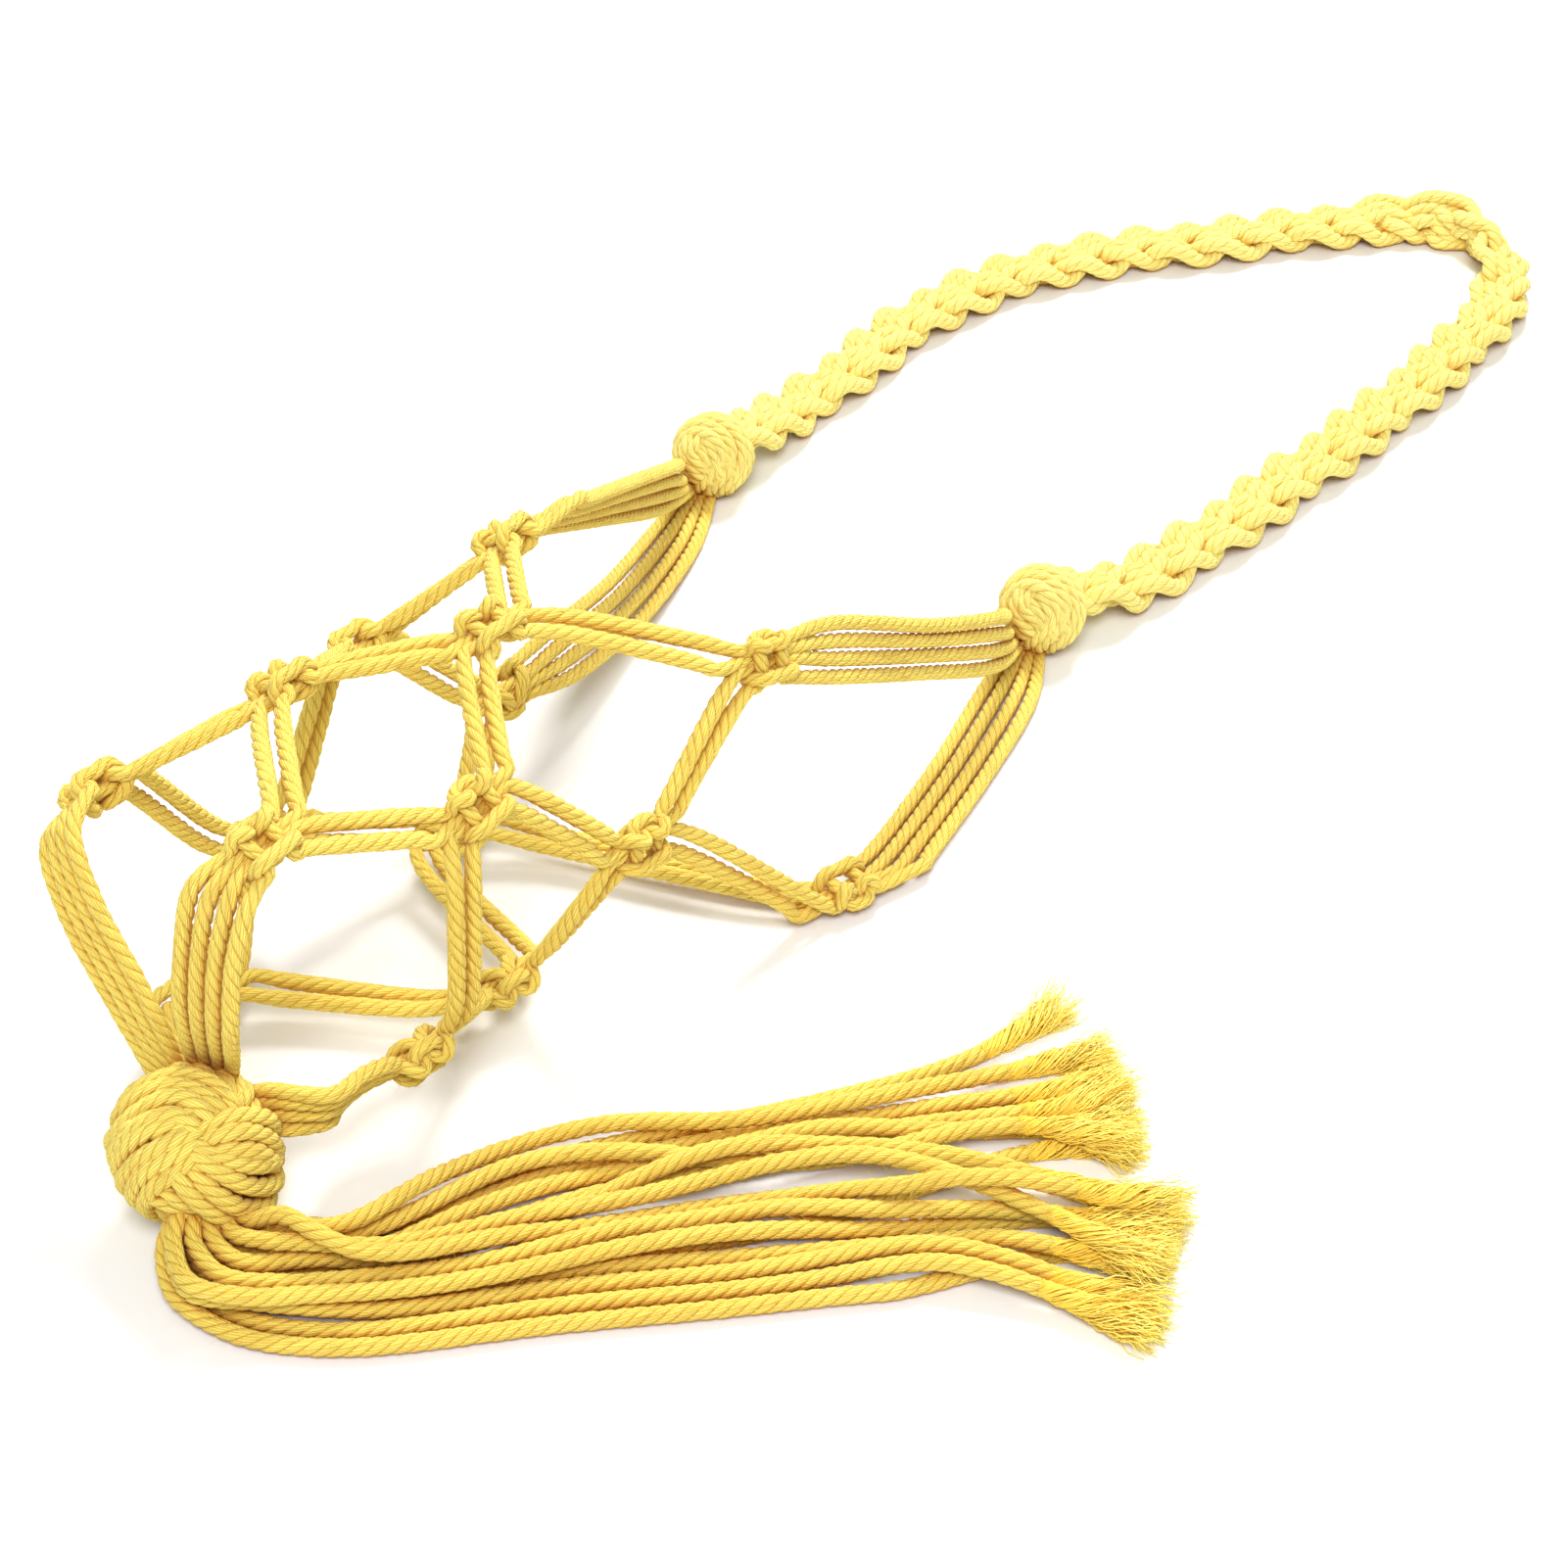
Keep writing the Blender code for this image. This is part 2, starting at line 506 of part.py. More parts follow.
def entry_way(knot, place):
    """Direction from the large knot's centre to where a cord of the net meets it."""
    middle = unit(TASSEL_ENTRY_shares[knot])
    across = knot_frame(knot)[2]
    across = unit(across - middle * np.dot(across, middle))
    turn = math.radians((place - 1.5) * ENTRY_STEP)
    return middle * math.cos(turn) + across * math.sin(turn)


def side_entry(top, place):
    if top == "J":
        return direction(*UPPER_ENTRIES[3 - place])
    return direction(*(UPPER_ENTRIES if top == "A" else LOWER_ENTRIES)[place])


def net_cord(top, place):
    """One cord of the net: from its side knot through four square knots to the large knot."""
    squeezed, free = TIGHT_CORD_DIAMETER / 2, CORD_DIAMETER / 2
    leg, tail = (squeezed + 2 * free) / 3, (2 * squeezed + free) / 3

    def add(link, radius):
        points, tight = link
        path.extend(points)
        radii.extend([squeezed if k else radius for k in tight])

    seats = {k: seat(side_centre(top), side_entry(top, k), SIDE_KNOT_RADIUS, ())
             for k in range(4)}
    path, radii = list(seats[place]), [squeezed, squeezed]
    along, across = knot_frame(top)[1:3]
    starts = {k: second for k, (first, second) in seats.items()}
    ends = {k: knot_path(top, k)[0] for k in range(4)}
    fan = (side_entry(top, 3) - side_entry(top, 0), across)
    add(bundle_path(starts, unit(side_entry(top, 1) + side_entry(top, 2)), ends, along,
                    place, TAIL_PITCH, LEG_SECTION_shares, fan, ("start",)), leg)
    knot = top
    while True:
        path += knot_path(knot, place)
        radii += [squeezed] * (len(path) - len(radii))
        along, across = knot_frame(knot)[1:3]
        if knot not in NEXT_KNOTS:
            break
        below, next_place = NEXT_KNOTS[knot][place // 2], NEXT_PLACE[place]
        pair = (place & 2, place | 1)
        starts = {k: knot_path(knot, k)[-1] for k in pair}
        ends = {k: knot_path(below, NEXT_PLACE[k])[0] for k in pair}
        add(bundle_path(starts, along, ends, knot_frame(below)[1], place, PAIR_PITCH,
                        LINK_SECTION_shares), free)
        knot, place = below, next_place
    starts = {k: knot_path(knot, k)[-1] for k in range(4)}
    seats = {k: seat(tassel_centre, entry_way(knot, k), TASSEL_KNOT_RADIUS, BAND_shares)
             for k in range(4)}
    ends = {k: before for k, (last, before) in seats.items()}
    fan = (across, entry_way(knot, 3) - entry_way(knot, 0))
    add(bundle_path(starts, along, ends, -entry_way(knot, 1.5), place, TAIL_PITCH,
                    TAIL_SECTION_shares, fan, ("start", "end"), TAIL_HANDLE_share), tail)
    path += [seats[place][1], seats[place][0]]
    radii += [squeezed, squeezed]
    return path, radii


# Strap

def strap_centre():
    """The middle line of the plait, from the front side knot to the back one."""
    lift = PLAIT_HALF_HEIGHT + STRAND_DIAMETER / 2 + FLOOR_CLEARANCE
    front, back = side_centre("A"), side_centre("J")
    route = [np.array((SIDE_KNOT_REACH + x, y, lift)) for x, y in STRAP_ROUTE]
    reach = SIDE_KNOT_RADIUS + 2 * STRAND_DIAMETER
    first = front + unit((route[0] - front) * (1, 1, 0.3)) * reach
    last = back + unit((route[-1] - back) * (1, 1, 0.3)) * reach
    return even_route([first] + route + [last], CORD_DIAMETER / 4)


def strand_path(centre_line, phase):
    """One strand of the plait: it swings from edge to edge, over one strand, under the next."""
    run = np.append(0, np.cumsum(np.linalg.norm(np.diff(centre_line, axis=0), axis=1)))
    ahead = np.gradient(centre_line, axis=0)
    turns = [phase]
    periods = round(run[-1] / PLAIT_PERIOD)
    last = phase + 360 * periods
    for n in range(periods + 1):
        turns += [t + 360 * n for t in PLAIT_TURNS if phase < t + 360 * n < last]
    path = []
    for turn in turns + [last]:
        at = (turn - phase) / (last - phase) * run[-1]
        point = np.array([np.interp(at, run, centre_line[:, k]) for k in range(3)])
        along = unit([np.interp(at, run, ahead[:, k]) for k in range(3)])
        side = unit(np.cross((0, 0, 1), along))
        up = np.cross(along, side)
        angle = math.radians(turn)
        path.append(point + side * PLAIT_HALF_WIDTH * math.sin(angle)
                    + up * PLAIT_HALF_HEIGHT * math.sin(2 * angle))
    first = seat(side_centre("A"), path[0] - side_centre("A"), SIDE_KNOT_RADIUS, ())[0]
    last = seat(side_centre("J"), path[-1] - side_centre("J"), SIDE_KNOT_RADIUS, ())[0]
    return [first] + path + [last]


# Tassel

SAMPLES = np.array((1, 3, 5, 7)) / 8


def tassel_exits():
    """Directions from the large knot's centre to where the tassel's cords leave it."""
    middle = unit(TASSEL_EXIT_shares)
    side = unit(np.cross((0, 0, 1), middle))
    up = np.cross(middle, side)
    up = up * math.copysign(1, up[2])
    step = TASSEL_CORD_PITCH / TASSEL_KNOT_RADIUS
    ways = []
    for row, count in enumerate(TASSEL_ROWS):
        rise = (row - (len(TASSEL_ROWS) - 1) / 2) * step
        for k in range(count):
            turn = (k - (count - 1) / 2) * step
            flat = middle * math.cos(turn) + side * math.sin(turn)
            ways.append(unit(flat * math.cos(rise) + up * math.sin(rise)))
    return ways


def crossing(a, b, c, d):
    """Where, seen from above, lines a-b and c-d cross: the share along each, or -1."""
    first, second, start = (b - a)[:, :2], (d - c)[:, :2], (c - a)[:, :2]
    area = first[:, 0] * second[:, 1] - first[:, 1] * second[:, 0]
    area = np.where(area == 0, np.inf, area)
    s = (start[:, 0] * second[:, 1] - start[:, 1] * second[:, 0]) / area
    t = (start[:, 0] * first[:, 1] - start[:, 1] * first[:, 0]) / area
    meet = (area != np.inf) & (s >= 0) & (s <= 1) & (t >= 0) & (t <= 1)
    return np.where(meet, s, -1), np.where(meet, t, -1)


def lay_tassel(step, gap, rounds=630):
    """Lay the tassel's cords on the floor along their routes, each on those laid before it.

    Every cord starts at its own place on the large knot. The cords sink, keep to their
    routes, and push each other apart wherever two are closer than their thickness.
    """
    pitch = CORD_DIAMETER + gap
    floor = CORD_DIAMETER / 2 + FLOOR_CLEARANCE
    points, route, hold, cord = [], [], [], []
    for n, (way, plan) in enumerate(zip(tassel_exits(), TASSEL_ROUTES)):
        first, second = seat(tassel_centre, way, TASSEL_KNOT_RADIUS, BAND_shares)
        line = even_route(np.vstack((second[:2], tassel_centre[:2] + plan)), step)[1:]
        start = np.column_stack((line, np.full(len(line), floor + n * pitch * 1.05)))
        rows = np.vstack((first, second, start))
        points.append(rows)
        route.append(rows[:, :2])
        hold.append(np.clip(np.arange(len(rows)) * step / LOOSE_LENGTH, 0, 1) ** 2)
        cord += [n] * len(rows)
    x, route, hold, cord = np.vstack(points), np.vstack(route), np.concatenate(hold), np.array(cord)
    new_cord = np.append(True, cord[1:] != cord[:-1])
    free = ~(new_cord | np.append(False, new_cord[:-1]))
    lone_end = np.append(new_cord[1:], True)
    inner = np.flatnonzero(free & ~lone_end)
    links = np.flatnonzero(~lone_end)
    settled = rounds * 3 // 8
    for n in range(rounds):
        if n % 8 == 0:
            middle = (x[links] + x[links + 1]) / 2
            apart = np.linalg.norm(middle[:, None] - middle[None], axis=2)
            other = cord[links][:, None] != cord[links][None]
            i, j = (links[k] for k in np.nonzero((apart < step + 1.5 * pitch) & other))
        bend = 0.06 if n < settled else 0.01 if n < 2 * settled else 0
        x[inner] += bend * ((x[inner - 1] + x[inner + 1]) / 2 - x[inner])
        if n < settled:
            x[free, :2] += 0.12 * ((route - x[:, :2]) * hold[:, None])[free]
            x[free, 2] -= SINK_STEP * max(1 - n / settled, 0.2)
        x[free, 2] = np.maximum(x[free, 2], floor)
        low, high = np.where(cord[i] < cord[j], (i, j), (j, i))
        s, t = crossing(x[low], x[low + 1], x[high], x[high + 1])
        lift = pitch + x[low, 2] * (1 - s) + x[low + 1, 2] * s
        lift -= x[high, 2] * (1 - t) + x[high + 1, 2] * t
        crossed = np.flatnonzero((t >= 0) & (hold[low] == 1) & (hold[high] == 1) & (lift > 0))
        for k in crossed:
            x[high[k], 2] += lift[k] / 2
            x[high[k] + 1, 2] += lift[k] / 2
        run = (x[j + 1] - x[j])[:, None]
        from_start = x[i][:, None] + (x[i + 1] - x[i])[:, None] * SAMPLES[:, None] - x[j][:, None]
        t = np.clip((from_start * run).sum(2) / (run * run).sum(2), 0, 1)
        away = from_start - t[..., None] * run
        distance = np.linalg.norm(away, axis=2)
        a, b = np.nonzero(distance < pitch)
        push = away[a, b] * ((pitch / distance[a, b] - 1) / 2)[:, None]
        move, share = np.zeros_like(x), np.zeros(len(x))
        s, t = SAMPLES[b], t[a, b]
        ends = ((i[a], 1 - s, 1), (i[a] + 1, s, 1), (j[a], 1 - t, -1), (j[a] + 1, t, -1))
        for place, weight, sign in ends:
            np.add.at(move, place, sign * push * weight[:, None])
            np.add.at(share, place, weight)
        move /= np.maximum(share, 0.8)[:, None] * 0.55
        x[free] += move[free]
        x[free, 2] = np.maximum(x[free, 2], floor)
    return [x[cord == n] for n in range(len(TASSEL_ROUTES))]


for old in list(bpy.data.objects):
    bpy.data.objects.remove(old, do_unlink=True)

tassel_centre = np.array((-TASSEL_KNOT_DROP, -TASSEL_KNOT_OFFSET, TASSEL_KNOT_RADIUS - FOOT_DEPTH))
holder = joint_empty("holder", (0, 0, 0))
strap_middle = (side_centre("A") + side_centre("J")) / 2
strap_pivot = joint_empty("strap_pivot", strap_middle, holder)
tassel_pivot = joint_empty("tassel_pivot", tassel_centre, holder)

count = 0
for top_knot in TOP_KNOTS:
    for first_place in range(4):
        count += 1
        cord_path, cord_radii = net_cord(top_knot, first_place)
        tube(f"net_cord_{count:02d}", cord_path, cord_radii, 1, CORD_COLOR, holder)

round_knot("side_knot_front", side_centre("A"), SIDE_KNOT_RADIUS, (), 12, 8, KNOT_COLOR, holder)
round_knot("side_knot_back", side_centre("J"), SIDE_KNOT_RADIUS, (), 12, 8, KNOT_COLOR, holder)
round_knot("tassel_knot", tassel_centre, TASSEL_KNOT_RADIUS, BAND_shares, 20, 11, KNOT_COLOR, holder)

plait = strap_centre()
for number, strand_phase in enumerate((0, 120, 240), start=1):
    strand = strand_path(plait, strand_phase)
    tight_end = [TIGHT_CORD_DIAMETER / 2]
    half_thick = tight_end + [STRAND_DIAMETER / 2] * (len(strand) - 2) + tight_end
    tube(f"strap_strand_{number}", strand, half_thick, 1, STRAP_COLOR, strap_pivot)

for number, cord_path in enumerate(lay_tassel(TASSEL_STEP, CORD_CLEARANCE), start=1):
    half_thick = [CORD_DIAMETER / 2] * len(cord_path)
    tube(f"tassel_cord_{number:02d}", cord_path, half_thick, 2, CORD_COLOR, tassel_pivot)

# The origin is under the middle of the whole holder, on the floor.
bpy.context.view_layer.update()
lowest, highest = np.full(3, np.inf), np.full(3, -np.inf)
for piece in bpy.context.scene.objects:
    if piece.type == "EMPTY":
        continue
    shape = piece.evaluated_get(bpy.context.evaluated_depsgraph_get())
    solid = shape.to_mesh()
    for vert in solid.vertices:
        place = np.array(shape.matrix_world @ vert.co)
        lowest, highest = np.minimum(lowest, place), np.maximum(highest, place)
    shape.to_mesh_clear()
middle = (lowest + highest) / 2
holder.location = (-middle[0], -middle[1], -lowest[2])
bpy.context.view_layer.update()
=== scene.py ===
"""The rope bottle holder as it looks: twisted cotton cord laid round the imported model."""
import json
import math

import bmesh
import bpy
import numpy as np
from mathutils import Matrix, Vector


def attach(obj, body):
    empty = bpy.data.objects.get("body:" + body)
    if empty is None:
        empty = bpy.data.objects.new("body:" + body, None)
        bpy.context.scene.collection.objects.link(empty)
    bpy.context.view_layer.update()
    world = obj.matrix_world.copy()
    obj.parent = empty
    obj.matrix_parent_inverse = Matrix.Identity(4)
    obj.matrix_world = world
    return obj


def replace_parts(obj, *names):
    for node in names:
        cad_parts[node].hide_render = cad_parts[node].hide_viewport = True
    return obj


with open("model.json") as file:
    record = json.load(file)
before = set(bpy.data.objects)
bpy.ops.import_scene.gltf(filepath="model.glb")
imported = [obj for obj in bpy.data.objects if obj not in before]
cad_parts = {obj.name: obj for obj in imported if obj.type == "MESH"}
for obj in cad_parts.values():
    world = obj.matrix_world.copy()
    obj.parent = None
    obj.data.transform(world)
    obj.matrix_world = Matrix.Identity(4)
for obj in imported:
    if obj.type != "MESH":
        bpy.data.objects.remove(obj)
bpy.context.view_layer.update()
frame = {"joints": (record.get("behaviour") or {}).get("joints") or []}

# Cord
CORD_DIAMETER = 0.0040          # a cord that lies free
TIGHT_CORD_DIAMETER = 0.0028    # the same cord squeezed inside a knot
KNOT_PITCH = 0.00215            # between the centres of two cords that a knot presses together
CORD_CLEARANCE = 0.0004         # between two free cords that lie on each other
SEAT_CLEARANCE = 0.0003         # between a cord's end and the knot that holds it
FLOOR_CLEARANCE = 0.0001        # under a free cord

# Net
NET_RADIUS = 0.0380             # of the round space inside the net
NET_AXIS_HEIGHT = 0.0460
NET_LENGTH = 0.1500             # from the net's base to its uppermost square knots
BASE_CORNER_RADIUS = 0.0100     # the net's cords turn round the base with this radius
SLACK_KNOT_REACH = 0.0570       # the one square knot that hangs off the net, from the axis

# Side knots, where the net's cords become the strap
SIDE_KNOT_RADIUS = 0.0120
SIDE_KNOT_REACH = 0.2600        # from the net's base, along the axis
FRONT_KNOT_OFFSET = 0.0300      # from the axis, to the front
BACK_KNOT_OFFSET = 0.0840       # from the axis, to the back

# Large knot under the net
TASSEL_KNOT_RADIUS = 0.0185
TASSEL_KNOT_DROP = 0.0180       # below the net's base, along the axis
TASSEL_KNOT_OFFSET = 0.0160     # from the axis, to the front
TASSEL_CORD_PITCH = 0.0044      # between the centres of the cords where they leave it
FOOT_DEPTH = 0.0005             # a knot that the holder lies on is this much flat underneath

# Strap
PLAIT_PERIOD = 0.0480           # in which a strand crosses to the other edge and back

# Tassel
TASSEL_STEP = 0.0120            # between two sections of a tassel cord
LOOSE_LENGTH = 0.0450           # near the knot a cord finds its own way over this length
SINK_STEP = 0.0006              # a cord being laid sinks this much in a round, at first
SLOWEST_SINK_share = 0.2        # of that step, down to which it slows
LAY_ROUNDS = 630
SEARCH_ROUNDS = 8               # after which the cords that lie near each other are found anew
SEARCH_PITCHES = 1.5            # how near that is, past the length of a section
START_PITCHES = 1.05            # each cord starts this much higher than the one before
SMOOTHING_shares = (0.06, 0.01, 0)      # how much a cord straightens in a round, in three stages
ROUTE_PULL_share = 0.12         # how much of its way back to the route a cord goes in a round
PUSH_share = 0.55               # of their weights in all, by which a point's pushes are divided
LEAST_PUSH_share = 0.8          # which the weights count as at least
SAMPLES = np.array((1, 3, 5, 7)) / 8    # places on a section that are kept off other cords

# Square knots: place along the net as a share of its length, and angle round its axis.
# Angle 0 is the front, 90 the top, 180 the back and -90 the underside.
knot_shares = {
    "I": 0.980, "A": 0.938, "J": 0.800, "P": 0.867,
    "D": 0.618, "B": 0.580, "K": 0.573, "M": 0.640,
    "H": 0.440, "E": 0.360, "C": 0.313, "N": 0.347,
    "G": 0.207, "F": 0.053, "L": 0.040, "O": 0.133,
}
KNOT_ANGLES = {
    "I": -37, "A": 27, "J": 122, "P": 208,
    "D": -2, "B": 83, "K": 158, "M": 236,
    "H": -56, "E": 40, "C": 114, "N": 205,
    "G": -38, "F": 64, "L": 140, "O": 236,
}
# The knots that a knot's two outgoing pairs of cords run to, lower angle first.
NEXT_KNOTS = {
    "I": "MD", "A": "DB", "J": "BK", "P": "KM",
    "D": "HE", "B": "EC", "K": "CN", "M": "NH",
    "H": "OG", "E": "GF", "C": "FL", "N": "LO",
}
TOP_KNOTS = "IAJP"
FLOOR_KNOT = "I"
# A cord's place in a knot, 0 to 3, becomes this place in the next knot.
NEXT_PLACE = (2, 3, 0, 1)

# Square knot in pitches of the cord: along the cords, across them, outwards.
# The table gives the first half, and the second half is its mirror image.
KNOT_HALF_share = 3.0
FRONT_WORKER_shares = (
    (0, -2.5, 0), (0.95, -2.5, 0.1), (1.5, -1.55, 0.9),
    (1.5, 0.75, 1.05), (1.45, 1.5, 0.85), (1.95, 2.45, 0.1),
)
BACK_WORKER_shares = (
    (0, 1.6, 0), (0.8, 2.15, 1.4), (1.7, 1.6, 2.0), (2.55, 1.55, 0.95),
    (2.5, 1.5, -0.55), (2.0, 0.6, -1.15), (1.0, -0.6, -1.15), (0.45, -1.5, -0.55),
    (0.35, -1.5, 0.9), (1.15, -1.65, 2.0), (3.0, -1.6, 1.85),
)
LOWER_FILLER_shares = ((0, -0.5, 0),)
UPPER_FILLER_shares = ((0, 0.5, 0),)
WORKER_shares = (FRONT_WORKER_shares, LOWER_FILLER_shares, UPPER_FILLER_shares, BACK_WORKER_shares)
KNOT_CENTRE_share = 1.7         # the knot's centre stands off the space inside by this many pitches

# Where the net's cords meet a side knot: azimuth and elevation of each of the four places.
UPPER_ENTRIES = ((200, -16), (200, 2), (200, 20), (200, 38))
LOWER_ENTRIES = ((171, -36), (189, -36), (207, -36), (225, -36))
# Where the four groups of cords meet the large knot: direction, and the step between cords.
TASSEL_ENTRY_shares = {
    "F": (0.23, -0.04, 0.97), "L": (0.19, 0.65, 0.74),
    "O": (0.75, 0.62, 0.00), "G": (0.82, -0.35, 0.45),
}
ENTRY_STEP = 10.5
MIDDLE_PLACE = 1.5              # of the places 0 to 3
# Where the tassel's cords leave the large knot: direction of the middle one, and the rows.
TASSEL_EXIT_shares = (-0.48, -0.74, -0.48)
TASSEL_ROWS = (6, 5, 5)

# How a link bends: its handles and the sections between two knots.
LINK_HANDLE_share = 0.15
TAIL_HANDLE_share = 0.30        # the tails bend more, because they turn to the large knot
LINK_SECTION_shares = (0.30, 0.70)
LEG_SECTION_shares = (0.22, 0.50, 0.78)
TAIL_SECTION_shares = (0.22, 0.50, 0.78)
PAIR_PITCH = 0.0050             # between the centres of two cords that run side by side
TAIL_PITCH = 0.0042             # the same, for the four that run to a wrapped knot
STUB_SLANT_share = 0.15         # below this slant a bundle's cords need no straight stub
STUB_LEAST_share = 0.20         # a stub shorter than this share of a pitch is left out
ROUTE_SECTIONS = 12             # between two points of a route, for its smooth curve
RIM_POINTS = 8                  # round a cord's end, where it is seated on a round knot
RIM_GUIDE = (0.3, 0.2, 0.9)     # a direction in which no cord leaves such a knot

# Bands of cord that wrap the large knot: axis, and as shares of the knot's radius the band's
# offset along the axis, its half width and its height. The last is level all round, where
# the tassel's cords leave, so that they can swing round the knot.
BAND_shares = (
    ((0.35, 0.55, 0.76), 0, 0.42, 0.14),
    ((0.80, -0.45, 0.40), 0, 0.34, 0.12),
    ((-0.60, 0.70, 0.38), 0, 0.30, 0.10),
    ((0.75, 0.66, 0.05), 0, 0.36, 0.14),
    ((0, 0, 1), -0.48, 0.55, 0.14),
)

# The strap's route on the floor, from the front side knot round its tip to the back one:
# from the side knots' place along the net, and from the net's axis.
STRAP_ROUTE = (
    (0.0337, -0.0362), (0.0511, -0.0384), (0.0683, -0.0394), (0.0900, -0.0404),
    (0.1111, -0.0406), (0.1300, -0.0412), (0.1480, -0.0412), (0.1670, -0.0407),
    (0.1867, -0.0398), (0.2042, -0.0379), (0.2213, -0.0349), (0.2328, -0.0314),
    (0.2423, -0.0263), (0.2505, -0.0170), (0.2550, -0.0029), (0.2528, 0.0076),
    (0.2469, 0.0171), (0.2375, 0.0266), (0.2274, 0.0341), (0.2158, 0.0427),
    (0.2030, 0.0511), (0.1873, 0.0629), (0.1713, 0.0741), (0.1554, 0.0828),
    (0.1378, 0.0888), (0.1198, 0.0927), (0.1012, 0.0938), (0.0840, 0.0925),
    (0.0681, 0.0908), (0.0540, 0.0896), (0.0405, 0.0890),
)

